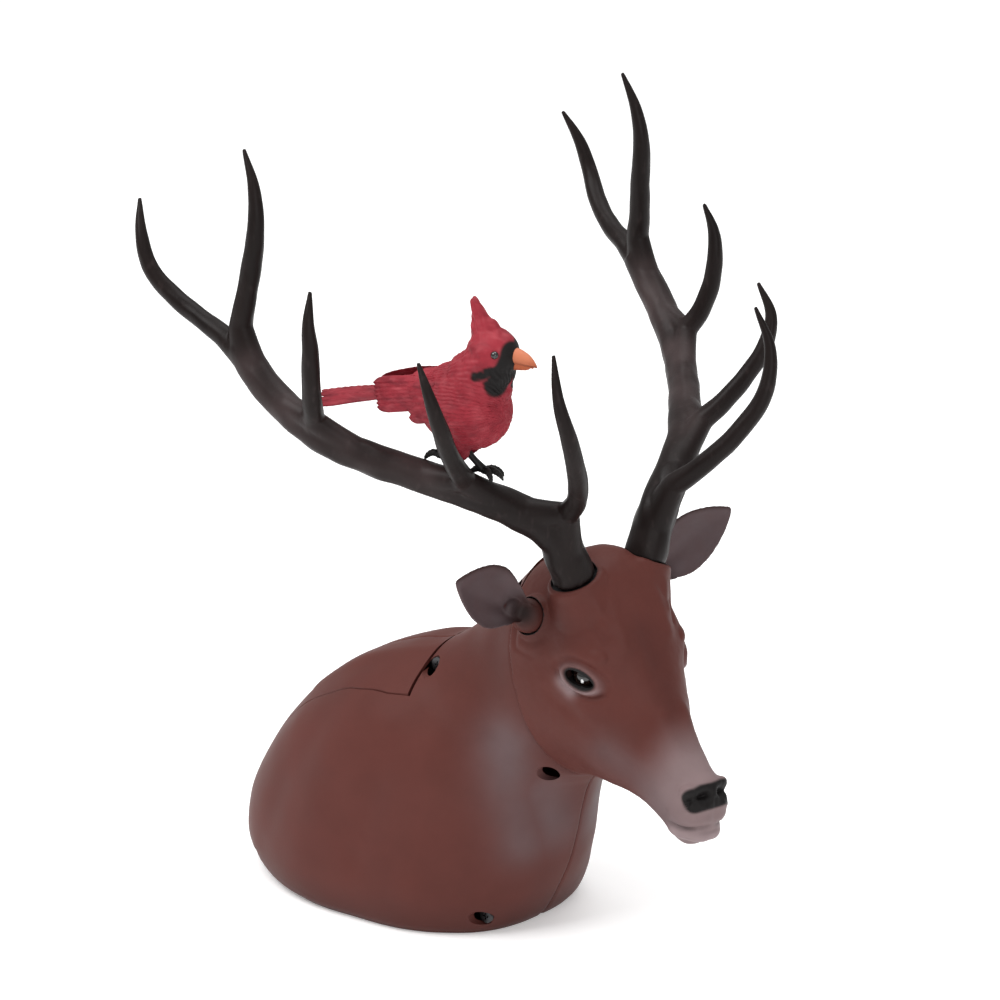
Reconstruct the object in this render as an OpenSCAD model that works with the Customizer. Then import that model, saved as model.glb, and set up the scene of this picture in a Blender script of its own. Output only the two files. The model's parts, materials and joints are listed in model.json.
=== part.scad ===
// Stag bust display figure with removable antlers and a cardinal perched on one of them.
// Frame: +X the way the stag's chest faces, +Y its left, +Z up, origin at the centre of the base face.

/* [Shells] */
// Wall of the hollow body and head shells
wall = 2.4; // [2:0.1:2.8]
// Gap between the right and the left body shell
shell_gap = 0.3; // [0.2:0.1:0.4]
// Gap between the neck of the body and the back of the head
neck_gap = 0.8; // [0.6:0.1:1]
// Diameter of the countersunk screw recesses
recess_d = 6.5; // [6:0.1:7]

/* [Head] */
// Turn of the head from straight ahead
head_yaw = -11; // [-12:1:-10]
// Radius of each glass eye
eye_r = 5.6; // [5.2:0.1:6]

/* [Hatch] */
// Gap along the sides of the hatch
hatch_gap = 0.6; // [0.5:0.1:0.8]
// Gap along the front and rear edges of the hatch
hatch_end_gap = 1.5; // [1.3:0.1:1.7]

/* [Antlers] */
// Radius of the peg that plugs each antler into the head
peg_r = 4; // [3.8:0.1:4.2]
// Radial clearance of every running fit
fit = 0.05; // [0.03:0.01:0.08]

/* [Hidden] */

ring_n = 32;
big = 400;

// Colours
hide = [0.42, 0.24, 0.22];
antler_brown = [0.13, 0.1, 0.09];
dark_plastic = [0.08, 0.08, 0.08];
steel = [0.7, 0.7, 0.72];
cardinal = [0.62, 0.14, 0.17];

// Body stations from the floor up to the neck seam: chest line x and z, back line x and z,
// half width, squareness of the front and of the rear half, and share of the head's turn.
body_stations = [
    [65, 0, -59, 0, 48.5, 2.6, 2.05, 0],
    [68.5, 4, -65, 4, 52, 2.5, 2.1, 0],
    [74, 14, -71.5, 14, 54, 2.35, 2.15, 0],
    [79.5, 26, -71, 29, 53, 2.1, 2.15, 0],
    [83, 38, -65, 45, 51, 1.95, 2.1, 0],
    [85, 48, -54, 62, 48.5, 1.9, 2.05, 0],
    [87, 56, -39, 78, 45.5, 1.9, 2, 0],
    [89, 61, -19, 93, 41.5, 1.9, 2, 0],
    [91, 64, 3, 102.5, 38, 1.95, 2, 0.1],
    [92.5, 66, 22, 107.5, 35.5, 2, 2, 0.25],
    [94, 67, 38, 118, 33.5, 2, 2, 0.45],
    [94.5, 68, 53, 134, 32.5, 2, 2, 0.75],
    [94.5, 68.5, 70, 151, 32, 2, 2, 1]];
neck_x = 84;

// Head stations from the neck seam to the nose, in the head's own frame (forward, up):
// top line, bottom line, half width and squareness.
head_origin = [74, 0, 101.5];
head_stations = [
    [-3.6, 49, 20.2, -33.5, 32, 2],
    [10, 54.5, 25, -33, 30.5, 2.1],
    [22, 58.5, 31, -31.5, 28.5, 2.2],
    [33, 57, 38, -31.5, 26.5, 2.2],
    [42, 48, 45, -32, 24.5, 2.2],
    [49, 36, 52, -33, 21, 2.2],
    [55, 24, 58, -35, 17, 2.2],
    [60, 14, 63, -38, 14, 2.2],
    [66, 4.5, 68, -41, 12.3, 2.2],
    [72, -4, 73, -44.5, 11.3, 2.2],
    [78, -11, 77, -46, 10.8, 2.2],
    [83.5, -15, 80.5, -45, 10, 2.2],
    [87.5, -17.5, 84, -42, 8.6, 2.1],
    [90, -21.5, 87, -38.5, 6, 2],
    [90.5, -26, 89, -34, 2.8, 2]];

// The seam plane between neck and head: its middle, its lean and its half height
seam = body_stations[len(body_stations) - 1];
seam_lean = atan((seam[0] - seam[2]) / (seam[3] - seam[1]));
seam_half = norm([seam[0] - seam[2], seam[3] - seam[1]]) / 2;
seam_x = (seam[0] + seam[2]) / 2 - neck_x;
seam_mid = [neck_x + seam_x * cos(head_yaw), seam_x * sin(head_yaw), (seam[1] + seam[3]) / 2];
seam_w = seam[4];

// Shell screws: x, z, how far out the recess floor lies on the right, and boss radius
shell_screw_at = [[85, 70, 11, 4.5], [28, 101, 17, 4.3], [66, 139, 9, 4.3],
    [61, 7.5, 28, 4.2], [-50, 9, 24, 4.5]];
screw_r = 1.5;
screw_reach = 10;

// Base plate, its screws and the ballast
plate_t = 2.4;
base_screw_at = [[42, 30], [42, -30], [-42, 26], [-42, -26]];
base_boss_h = 14;
ballast = [36, 44, 11];
ballast_x = -12;
ballast_peg = [14, 0];

// Storage tray under the hatch
tray_x = [-36, 13];
tray_half_w = 17;
tray_floor = 46;
tray_rim = [66, 95];
tray_t = 2;
leg = 5;

// Back hatch: plan outline of its right edge from the front corner to the rear
hatch_front_x = 23.5;
hatch_corner = [26, 33];
hatch_edge = [[15, 33.5], [8, 32], [0, 32.5], [-8, 29], [-18, 28.5], [-28, 25.5], [-38, 23], [-48, 20]];
hatch_rear_x = -58;
hinge = [-43, 63.5];
hinge_r = 2;
hinge_pin_r = 1;
knuckle = 6;
hinge_depth = 4;
magnet_r = 2.6;
magnet_at = [17.5, 9];
magnet_t = 1.6;
shelf_z = 96;

// Antler centrelines of the left side in the head's frame, with the radius at each point
beam = [
    [28.6, 17.5, 51.4, 8.2], [28.2, 21.5, 61, 8], [27.2, 26.5, 71, 7.6], [21.5, 38.5, 80, 7.1],
    [11.5, 52.5, 88, 6.8], [-4, 67, 94.5, 6.4], [-20, 80, 100.5, 6.3], [-35, 90, 107.5, 6.2],
    [-50, 96, 118, 6.1], [-61, 98.5, 127, 6], [-69.8, 99.3, 136, 5.6]];
tine_top = [
    [-66, 99.5, 131, 5.2], [-69, 99.5, 143, 4.6], [-67, 98.5, 155, 4.1], [-65, 97, 169, 3.9],
    [-63.5, 96, 184, 3.3], [-66, 95, 198, 2.3], [-73, 94, 211, 0.8]];
tine_rear = [
    [-64, 98.5, 130, 5], [-77, 101, 138, 4.3], [-89, 103, 143, 3.8], [-102, 107, 150.5, 3.6],
    [-111, 110.5, 160, 3.2], [-117, 110, 172, 2.4], [-123, 106, 184, 0.8]];
tine_third = [
    [-38, 90, 106, 5], [-33, 93.5, 114, 4.3], [-29, 97, 122, 3.8], [-26, 100, 133, 3.6],
    [-25, 101, 144, 3.2], [-26, 101, 155, 2.3], [-28.5, 98, 166, 0.8]];
tine_second = [
    [12, 52, 88, 5.2], [14.5, 59, 94.5, 4.5], [18.5, 66, 101.5, 3.9], [22.5, 74, 111, 3.6],
    [26, 81, 123, 3.2], [25, 85, 135, 2.3], [18, 84.5, 146.5, 0.8]];
tine_brow = [
    [28, 24.5, 69, 5.4], [35, 26.5, 80, 4.6], [45, 30.5, 89, 4], [55, 39, 102, 3.8],
    [61.5, 48, 118, 3.3], [60, 52.5, 135, 2.3], [54, 50, 151, 0.8]];
socket_dir = [-0.04, 0.38, 0.924];
peg_len = 16;
peg_in_antler = 9;
socket_depth = 3;
socket_r = 9.3;

// Ears of the left side in the head's frame: root, tip, and half width along the length
ear_root = [15, 27, 34];
ear_tip = [21, 69.5, 59];
ear_half = [[0, 5.2], [0.12, 7], [0.3, 10.6], [0.48, 12.4], [0.66, 11.4], [0.82, 7.8], [0.93, 4], [1, 0.9]];
ear_t = 2;
ear_pin_r = 2;
ear_pin_len = 10.8;

eye_at = [37.5, 18.4, 15];

// Cardinal: where its feet stand on the right antler, in the head's frame, and which way it faces
bird_at = [9.5, -56, 98.4];
bird_turn = 24;
perch_feet = [-9, 8];

// Curves and lofts
function spline4(a, b, c, d, t) =
    0.5 * (2 * b + (c - a) * t + (2 * a - 5 * b + 4 * c - d) * t * t
        + (3 * b - a - 3 * c + d) * t * t * t);
function before(p) = 2 * p[0] - p[1];
function after(p) = 2 * p[len(p) - 1] - p[len(p) - 2];
function smooth(p, m) = let (q = concat([before(p)], p, [after(p)]))
    concat([for (i = [0 : len(p) - 2], k = [0 : m - 1])
        spline4(q[i], q[i + 1], q[i + 2], q[i + 3], k / m)], [p[len(p) - 1]]);
function squared(v, n) = sign(v) * pow(abs(v), 2 / n);
function unit(v) = v / norm(v);
function xyz(p) = [p[0], p[1], p[2]];

module loft(rings) {
    n = len(rings[0]);
    last = (len(rings) - 1) * n;
    walls = [for (k = [0 : len(rings) - 2], i = [0 : n - 1])
        let (a = k * n + i, b = k * n + (i + 1) % n)
        each [[a, a + n, b + n], [a, b + n, b]]];
    polyhedron(
        points = [for (r = rings) each r],
        faces = concat([[for (i = [0 : n - 1]) i]], [[for (i = [n - 1 : -1 : 0]) last + i]], walls));
}

// Body surface
function body_ring(s) = let (turn = head_yaw * s[7]) [for (i = [0 : ring_n - 1])
    let (u = 360 * i / ring_n, n = cos(u) > 0 ? s[5] : s[6],
        x = (s[0] + s[2]) / 2 + (s[0] - s[2]) / 2 * squared(cos(u), n) - neck_x,
        y = s[4] * squared(sin(u), n))
    [neck_x + x * cos(turn) - y * sin(turn), x * sin(turn) + y * cos(turn),
        (s[1] + s[3]) / 2 + (s[1] - s[3]) / 2 * squared(cos(u), n)]];
function body_inset(s, t) = let (q = t / norm([s[0] - s[2], s[1] - s[3]]), dx = s[0] - s[2], dz = s[1] - s[3])
    [s[0] - dx * q, s[1] - dz * q, s[2] + dx * q, s[3] + dz * q, s[4] - t, s[5], s[6], s[7]];
function lifted(s, dx, dz) = [s[0] + dx, s[1] + dz, s[2] + dx, s[3] + dz, s[4], s[5], s[6], s[7]];
module body_outer() {
    loft([for (s = smooth(body_stations, 2)) body_ring(s)]);
}
module body_inner(t) {
    inner = [for (s = body_stations) body_inset(s, t)];
    ends = concat([lifted(inner[0], 0, -2)], inner, [lifted(inner[len(inner) - 1], 2, 0.6)]);
    loft([for (s = smooth(ends, 1)) body_ring(s)]);
}

// Head surface
module in_head() {
    translate(head_origin) rotate([0, 0, head_yaw]) children();
}
function head_ring(s) = [for (i = [0 : ring_n - 1])
    let (u = 360 * i / ring_n, c = squared(cos(u), s[5]))
    [(s[0] + s[2]) / 2 + (s[0] - s[2]) / 2 * c, -s[4] * squared(sin(u), s[5]),
        (s[1] + s[3]) / 2 + (s[1] - s[3]) / 2 * c]];
function head_inset(s, t) = let (dx = s[0] - s[2], dz = s[1] - s[3], q = t / norm([dx, dz]))
    [s[0] - dx * q, s[1] - dz * q, s[2] + dx * q, s[3] + dz * q, s[4] - t, s[5]];
module head_outer() {
    first = head_stations[0];
    back = concat([first[0] + neck_gap, first[1], first[2] + neck_gap], [for (i = [3 : 5]) first[i]]);
    stations = concat([back], [for (i = [1 : len(head_stations) - 1]) head_stations[i]]);
    loft([for (s = smooth(stations, 2)) head_ring(s)]);
}
module head_inner(t) {
    inner = [for (i = [0 : len(head_stations) - 3]) head_inset(head_stations[i], t)];
    first = inner[0];
    back = [first[0] - 3, first[1] - 1, first[2] - 3, first[3] - 1, first[4], first[5]];
    loft([for (s = concat([back], inner)) head_ring(s)]);
}

// Frames of the neck seam, the antler sockets and the ears
module at_seam() {
    translate(seam_mid) rotate([0, 0, head_yaw]) rotate([0, -seam_lean, 0]) rotate([0, 90, 0]) children();
}
module along(p, d) {
    translate(p) rotate([0, acos(d[2] / norm(d)), atan2(d[1], d[0])]) children();
}
module left_side() {
    in_head() children();
}
module right_side() {
    in_head() mirror([0, 1, 0]) children();
}

// Body shells
module hatch_plan(gap, end_gap) {
    right = concat([[hatch_front_x - end_gap, 0], [hatch_corner[0] - end_gap, hatch_corner[1] - gap]],
        [for (p = smooth(hatch_edge, 3)) [p[0], p[1] - gap]],
        [[hatch_rear_x + 3, 18.5 - gap], [hatch_rear_x + end_gap, 15 - gap], [hatch_rear_x + end_gap, 0]]);
    for (s = [-1, 1]) scale([1, s]) polygon(right);
}
module hatch_prism(gap, end_gap) {
    translate([0, 0, 48]) linear_extrude(80) hatch_plan(gap, end_gap);
}
module half_space(side) {
    translate([-big / 2, side > 0 ? shell_gap / 2 : -big - shell_gap / 2, -big / 2]) cube(big);
}
module boss(x, z, y0, y1, r) {
    hull() {
        translate([x, y0, z]) rotate([-90, 0, 0]) cylinder(h = 0.5, r = r, $fn = 16);
        translate([x, y1 - 0.5, z]) rotate([-90, 0, 0]) cylinder(h = 0.5, r = r, $fn = 16);
    }
}
module base_boss(p) {
    hull() {
        translate([p[0], p[1], plate_t]) cylinder(h = base_boss_h, r = 4, $fn = 16);
        translate([p[0], p[1] * 1.7, plate_t]) cylinder(h = base_boss_h, r = 1.5, $fn = 12);
    }
}
module body_shell(side) {
    intersection() {
        difference() {
            union() {
                difference() {
                    body_outer();
                    body_inner(wall);
                }
                intersection() {
                    body_inner(wall / 2);
                    union() {
                        for (s = shell_screw_at) boss(s[0], s[1], side > 0 ? 0 : -60, side > 0 ? 60 : 0, s[3]);
                        for (p = base_screw_at) base_boss(p);
                    }
                }
            }
            hatch_prism(0, 0);
            for (s = shell_screw_at) translate([s[0], 0, s[1]]) rotate([90, 0, 0]) {
                translate([0, 0, -screw_reach - 1]) cylinder(h = 60, r = screw_r + 0.2, $fn = 16);
                if (side < 0) translate([0, 0, s[2]]) cylinder(h = 60, r = recess_d / 2, $fn = 24);
            }
            for (p = base_screw_at) translate([p[0], p[1], 0]) cylinder(h = 12, r = screw_r + 0.2, $fn = 16);
        }
        half_space(side);
    }
}
module right_body_shell() {
    color(hide) body_shell(-1);
}
module left_body_shell() {
    color(hide) body_shell(1);
}

// Base plate, screws and ballast
module floor_outline(t) {
    s = body_inset(body_stations[0], wall + t);
    polygon([for (p = body_ring(s)) [p[0], p[1]]]);
}
module base_plate() {
    color(dark_plastic) difference() {
        union() {
            linear_extrude(plate_t) floor_outline(0.3);
            for (s = [-1, 1]) translate([ballast_x + s * ballast_peg[0], 0, plate_t]) cylinder(h = 5, r = 3, $fn = 32);
        }
        for (p = base_screw_at) translate([p[0], p[1], 0]) {
            translate([0, 0, -1]) cylinder(h = 9, r = 1.7, $fn = 32);
            translate([0, 0, -1]) cylinder(h = 2.4, r = 3.2, $fn = 32);
        }
    }
}
module screw(length, head_h, head_r) {
    difference() {
        union() {
            cylinder(h = length, r = screw_r, $fn = 32);
            translate([0, 0, length - head_h]) cylinder(h = head_h, r = head_r, $fn = 32);
        }
        translate([0, 0, length - 0.7]) linear_extrude(1) for (a = [0, 90]) rotate(a) square([2.8, 0.7], center = true);
    }
}
module base_screws() {
    color(steel) for (p = base_screw_at) translate([p[0], p[1], 11]) mirror([0, 0, 1]) screw(10.8, 1.1, 2.8);
}
module shell_screws() {
    color(steel) for (s = shell_screw_at) translate([s[0], screw_reach, s[1]]) rotate([90, 0, 0])
        screw(screw_reach + s[2] + 1.6, 1.6, 2.8);
}
module ballast_block() {
    color(steel) translate([ballast_x, 0, plate_t]) difference() {
        linear_extrude(ballast[2]) difference() {
            translate([-ballast[0] / 2, -ballast[1] / 2]) square([ballast[0], ballast[1]]);
            for (a = [-1, 1], b = [-1, 1]) translate([a * ballast[0] / 2, b * ballast[1] / 2]) circle(r = 4, $fn = 32);
        }
        for (s = [-1, 1]) translate([s * ballast_peg[0], 0, -1]) cylinder(h = 20, r = 3.1, $fn = 32);
    }
}

// Storage tray, hinge and magnets
module tray_profile(inset_t) {
    a = tray_x[0] + inset_t;
    b = tray_x[1] - inset_t;
    polygon([[a, tray_floor + inset_t], [b, tray_floor + inset_t], [b, tray_rim[1] + (inset_t > 0 ? 20 : 0)],
        [a, tray_rim[0] + (inset_t > 0 ? 20 : 0)]]);
}
module storage_tray() {
    color(dark_plastic) difference() {
        union() {
            translate([0, tray_half_w, 0]) rotate([90, 0, 0]) linear_extrude(2 * tray_half_w) tray_profile(0);
            for (x = tray_x, s = [-1, 1])
                translate([x + (x < 0 ? 0 : -leg), s * (tray_half_w - leg / 2) - leg / 2, plate_t])
                    cube([leg, leg, tray_floor - plate_t + 1]);
            translate([tray_x[1] - tray_t, -tray_half_w, shelf_z - 2]) cube([9, 2 * tray_half_w, 2]);
            translate([tray_x[1] - tray_t, -tray_half_w, tray_floor]) cube([tray_t, 2 * tray_half_w, shelf_z - tray_floor]);
        }
        translate([0, tray_half_w - tray_t, 0]) rotate([90, 0, 0]) linear_extrude(2 * (tray_half_w - tray_t)) tray_profile(tray_t);
    }
}
module hinge_frame() {
    translate([hinge[0], 0, hinge[1]]) rotate([-90, 0, 0]) children();
}
module barrel(y0, y1) {
    translate([0, 0, y0]) difference() {
        cylinder(h = y1 - y0, r = hinge_r, $fn = 32);
        translate([0, 0, -1]) cylinder(h = y1 - y0 + 2, r = hinge_pin_r + fit, $fn = 32);
    }
}
module hinge_bracket() {
    arm_y = knuckle + 0.3;
    color(steel) difference() {
        union() {
            hinge_frame() for (y = [-arm_y - 5, arm_y]) barrel(y, y + 5);
            for (y = [-arm_y - 5, arm_y]) translate([hinge[0], y, hinge[1] - hinge_r]) cube([6, 5, 2 * hinge_r]);
            translate([tray_x[0] - 2, -arm_y - 5, hinge[1] - 6]) cube([2, 2 * arm_y + 10, 8]);
        }
        hinge_frame() translate([0, 0, -30]) cylinder(h = 60, r = hinge_pin_r + fit, $fn = 32);
    }
}
module hatch_hinge_pin() {
    color(steel) hinge_frame() translate([0, 0, -knuckle - 5]) cylinder(h = 2 * knuckle + 10, r = hinge_pin_r, $fn = 32);
}
module tray_magnets() {
    color(steel) for (s = [-1, 1]) translate([magnet_at[0], s * magnet_at[1], shelf_z]) cylinder(h = magnet_t, r = magnet_r, $fn = 32);
}
module hatch_rib(x0, x1, y, z0, z1) {
    hull() for (p = [[x0, z0], [x1, z1]]) translate([p[0], y, p[1]]) cube([1, 1.2, 4], center = true);
}
module back_hatch() {
    lift = shelf_z + 2 * magnet_t + 0.6;
    color(hide) intersection() {
        union() {
            difference() {
                body_outer();
                body_inner(wall);
            }
            intersection() {
                body_inner(wall / 2);
                union() {
                    for (s = [-1, 1]) hull() {
                        translate([magnet_at[0], s * magnet_at[1], lift]) cylinder(h = 1, r = magnet_r, $fn = 16);
                        translate([magnet_at[0], s * magnet_at[1], lift + 4]) cylinder(h = 1, r = magnet_r + 1, $fn = 16);
                    }
                    for (s = [-1, 1], k = [0 : 2])
                        hatch_rib(-30 + 14 * k, -18 + 14 * k, s * 21, 79 + 7 * k, 85 + 6 * k);
                }
            }
        }
        hatch_prism(hatch_gap, hatch_end_gap);
    }
}
module hatch_hinge_leaf() {
    lean = atan2(16, 15);
    color(steel) difference() {
        union() {
            hinge_frame() barrel(-knuckle, knuckle);
            translate([hinge[0], -knuckle, hinge[1]]) rotate([0, -lean, 0]) {
                translate([-hinge_r, 0, 0]) cube([2 * hinge_r, 2 * knuckle, hinge_depth]);
                translate([-hinge_r, 0, hinge_depth - 1.2]) cube([10, 2 * knuckle, 1.2]);
            }
        }
        hinge_frame() translate([0, 0, -30]) cylinder(h = 60, r = hinge_pin_r + fit, $fn = 32);
    }
}
module hatch_magnets() {
    color(steel) for (s = [-1, 1])
        translate([magnet_at[0], s * magnet_at[1], shelf_z + magnet_t + 0.5]) cylinder(h = magnet_t, r = magnet_r, $fn = 32);
}

// Neck joint
module seam_oval(t) {
    polygon([for (i = [0 : 71]) [(seam_half - t) * cos(5 * i), (seam_w - t) * sin(5 * i)]]);
}
module neck_ring() {
    color(dark_plastic) difference() {
        at_seam() translate([0, 0, -4]) linear_extrude(3) difference() {
            seam_oval(wall + 2.4);
            circle(r = 6 + fit, $fn = 48);
        }
        for (s = shell_screw_at) translate([s[0], 60, s[1]]) rotate([90, 0, 0])
            cylinder(h = 120, r = s[3] + 0.5, $fn = 32);
    }
}
module head_back_plate() {
    color(dark_plastic) at_seam() translate([0, 0, neck_gap + 1.2]) linear_extrude(2.4) difference() {
        seam_oval(wall + 4.2);
        for (a = [45, 135, 225, 315]) translate([26 * cos(a), 16 * sin(a)]) circle(r = 1.7, $fn = 32);
        circle(r = 3.1, $fn = 32);
    }
}
module head_screws() {
    color(steel) at_seam() for (a = [45, 135, 225, 315])
        translate([26 * cos(a), 16 * sin(a), neck_gap + 6.6]) mirror([0, 0, 1]) screw(6.4, 1, 2.8);
}
module neck_pivot_post() {
    color(dark_plastic) at_seam() difference() {
        union() {
            translate([0, 0, -10]) cylinder(h = 10 + neck_gap + 1.2, r = 6, $fn = 48);
            translate([0, 0, -1 + 0.2]) cylinder(h = neck_gap + 2 - 0.2, r = 12, $fn = 48);
            translate([0, 0, 0]) cylinder(h = neck_gap + 6, r = 3, $fn = 32);
        }
        translate([0, 0, -8.6]) difference() {
            cylinder(h = 1.3, r = 8, $fn = 48);
            translate([0, 0, -1]) cylinder(h = 4, r = 4.8, $fn = 48);
        }
    }
}
module friction_washer() {
    color(steel) at_seam() translate([0, 0, -7.2]) difference() {
        cylinder(h = 3, r = 11, $fn = 48);
        translate([0, 0, -1]) cylinder(h = 5, r = 6.2, $fn = 48);
    }
}
module pivot_clip() {
    color(steel) at_seam() translate([0, 0, -8.5]) difference() {
        cylinder(h = 1.1, r = 9, $fn = 48);
        translate([0, 0, -1]) cylinder(h = 4, r = 4.9, $fn = 48);
        translate([0, -3, -1]) cube([12, 6, 4]);
    }
}

// Head shell with raised pedicles, brows, nose and lips
module ball(p, r) {
    translate(p) sphere(r = r, $fn = 10);
}
module head_relief(side) {
    scale([1, side, 1]) {
        // pedicle under the antler
        hull() {
            along(xyz(beam[0]), socket_dir) translate([0, 0, -3]) cylinder(h = 3.2, r = socket_r + 1.6, $fn = 20);
            along(xyz(beam[0]), socket_dir) translate([0, 0, -10]) cylinder(h = 1, r = socket_r + 3.5, $fn = 20);
        }
        // brow over the eye
        hull() {
            ball([33, 22, 25], 4.2);
            ball([43, 20, 26], 4.4);
        }
        hull() {
            ball([43, 20, 26], 4.4);
            ball([47, 17, 17], 4);
        }
        // cheek bone below the eye
        hull() {
            ball([40, 18.5, 5], 5);
            ball([54, 12.5, -4], 3.2);
        }
        // ear root
        hull() {
            ball([15, 24.5, 34], 8);
            ball([22, 20, 36], 8);
        }
        // nostril wing
        hull() {
            ball([83, 6.5, -22], 4.2);
            ball([87, 5, -26], 4);
        }
    }
}
module head_boss(a) {
    hull() {
        translate([26 * cos(a), 16 * sin(a), neck_gap + 3.8]) cylinder(h = 8, r = 3.4, $fn = 16);
        translate([42 * cos(a), 31 * sin(a), neck_gap + 3.8]) cylinder(h = 8, r = 2, $fn = 16);
    }
}
module head_solid() {
    head_outer();
    head_relief(1);
    head_relief(-1);
}
module head_shell() {
    color(hide) difference() {
        union() {
            in_head() difference() {
                head_solid();
                head_inner(wall);
            }
            intersection() {
                in_head() head_inner(wall / 2);
                at_seam() for (a = [45, 135, 225, 315]) head_boss(a);
            }
        }
        at_seam() for (a = [45, 135, 225, 315])
            translate([26 * cos(a), 16 * sin(a), 0]) cylinder(h = 30, r = screw_r + 0.2, $fn = 16);
        in_head() for (s = [-1, 1]) scale([1, s, 1]) {
            along(xyz(beam[0]), socket_dir) translate([0, 0, -socket_depth]) cylinder(h = 30, r = socket_r, $fn = 24);
            along(xyz(beam[0]), socket_dir) translate([0, 0, -40]) cylinder(h = 50, r = peg_r + 2.3, $fn = 16);
            translate(eye_at) sphere(r = eye_r + 0.2, $fn = 20);
            along(ear_root, ear_tip - ear_root) translate([0, 0, -4]) cylinder(h = 30, r = 7.2, $fn = 24);
            along(ear_root, ear_tip - ear_root) translate([0, 0, -24]) cylinder(h = 30, r = ear_pin_r + 2, $fn = 16);
        }
    }
}

// Eyes and sockets
module eye() {
    color(dark_plastic) translate(eye_at) sphere(r = eye_r, $fn = 32);
}
module right_eye() {
    right_side() eye();
}
module left_eye() {
    left_side() eye();
}
module antler_socket() {
    color(dark_plastic) along(xyz(beam[0]), socket_dir) difference() {
        union() {
            translate([0, 0, -socket_depth + 0.1]) cylinder(h = 1.4, r = socket_r - 0.2, $fn = 48);
            translate([0, 0, -peg_len - 3]) cylinder(h = peg_len + 1.2, r = peg_r + 2, $fn = 48);
        }
        translate([0, 0, -peg_len - 1]) cylinder(h = peg_len + 2, r = peg_r + fit, $fn = 48);
    }
}
module right_antler_socket() {
    right_side() antler_socket();
}
module left_antler_socket() {
    left_side() antler_socket();
}
module ear_bush() {
    color(dark_plastic) along(ear_root, ear_tip - ear_root) difference() {
        union() {
            translate([0, 0, -3.8]) cylinder(h = 1.2, r = 6.8, $fn = 48);
            translate([0, 0, -13]) cylinder(h = 10, r = ear_pin_r + 1.6, $fn = 48);
        }
        translate([0, 0, -30]) cylinder(h = 40, r = ear_pin_r + fit, $fn = 48);
    }
}
module right_ear_bush() {
    right_side() ear_bush();
}
module left_ear_bush() {
    left_side() ear_bush();
}

// Antlers
function tube_ring(c, d, r) = let (u = unit(cross(d, [0, 1, 0])), v = cross(d, u))
    [for (i = [0 : 9]) c + r * (cos(36 * i) * u + sin(36 * i) * v)];
module tube(path, m) {
    p = smooth(path, m);
    n = len(p) - 1;
    loft([for (i = [0 : n])
        tube_ring(xyz(p[i]), unit(xyz(p[min(i + 1, n)]) - xyz(p[max(i - 1, 0)])), p[i][3])]);
}
module web(a, b) {
    hull() for (p = [a, b]) translate(xyz(p)) sphere(r = p[3] * 0.96, $fn = 12);
}
module antler() {
    difference() {
        union() {
            difference() {
                tube(beam, 2);
                along(xyz(beam[0]), socket_dir) translate([0, 0, -20]) cylinder(h = 20, r = 20);
            }
            tube(tine_top, 2);
            tube(tine_rear, 2);
            tube(tine_third, 2);
            tube(tine_second, 2);
            tube(tine_brow, 2);
            web(beam[1], tine_brow[1]);
            web(beam[3], tine_brow[1]);
            web(beam[3], tine_second[1]);
            web(beam[5], tine_second[1]);
            web(beam[6], tine_third[1]);
            web(beam[8], tine_third[1]);
            web(beam[9], tine_top[1]);
            web(beam[9], tine_rear[1]);
        }
        along(xyz(beam[0]), socket_dir) translate([0, 0, -1]) cylinder(h = peg_in_antler + 1, r = peg_r + 0.2, $fn = 24);
    }
}
module right_antler() {
    color(antler_brown) right_side() antler();
}
module left_antler() {
    color(antler_brown) left_side() antler();
}
module antler_peg() {
    color(steel) along(xyz(beam[0]), socket_dir)
        translate([0, 0, -peg_len + 1]) cylinder(h = peg_len + peg_in_antler - 1.2, r = peg_r, $fn = 48);
}
module right_antler_peg() {
    right_side() antler_peg();
}
module left_antler_peg() {
    left_side() antler_peg();
}

// Ears
ear_axis = unit(ear_tip - ear_root);
ear_up = unit([0, 0, 1] - ear_axis[2] * ear_axis);
ear_front = cross(ear_axis, ear_up);
// Point k (-5 to 5 across the width) of the cupped back of the ear, at share s of its length
function ear_back(s, h, k) = ear_root + s * norm(ear_tip - ear_root) * ear_axis
    + h * (k / 5) * ear_up + ear_front * h * (0.42 * k * k / 25 - 0.28);
function ear_ring(s, h) = concat(
    [for (k = [-5 : 5]) ear_back(s, h, k)],
    [for (k = [5 : -1 : -5]) ear_back(s, h, k)
        + ear_front * ear_t * (1.15 - 0.6 * k * k / 25) * min(1, h / 4) - 0.06 * k * ear_up]);
module ear() {
    rings = smooth(ear_half, 2);
    union() {
        loft([for (q = rings) if (q[0] > 0.05) ear_ring(q[0], q[1])]);
        along(ear_root, ear_axis) translate([0, 0, -2.4]) cylinder(h = 5, r = 5.6, $fn = 16);
        for (k = [-4 : 4]) hull() {
            along(ear_root, ear_axis) translate([0, 0, 1]) sphere(r = 3.4, $fn = 8);
            translate(ear_back(0.14, 7, k)) sphere(r = 1.1, $fn = 8);
        }
    }
}
module right_ear() {
    color(hide) right_side() ear();
}
module left_ear() {
    color(hide) left_side() ear();
}
module ear_pin() {
    color(steel) along(ear_root, ear_tip - ear_root) translate([0, 0, -ear_pin_len - 2.4]) {
        cylinder(h = ear_pin_len, r = ear_pin_r, $fn = 48);
        translate([0, 0, -1.2]) cylinder(h = 1.2, r = ear_pin_r + 1, $fn = 48);
    }
}
module right_ear_pin() {
    right_side() ear_pin();
}
module left_ear_pin() {
    left_side() ear_pin();
}

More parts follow.
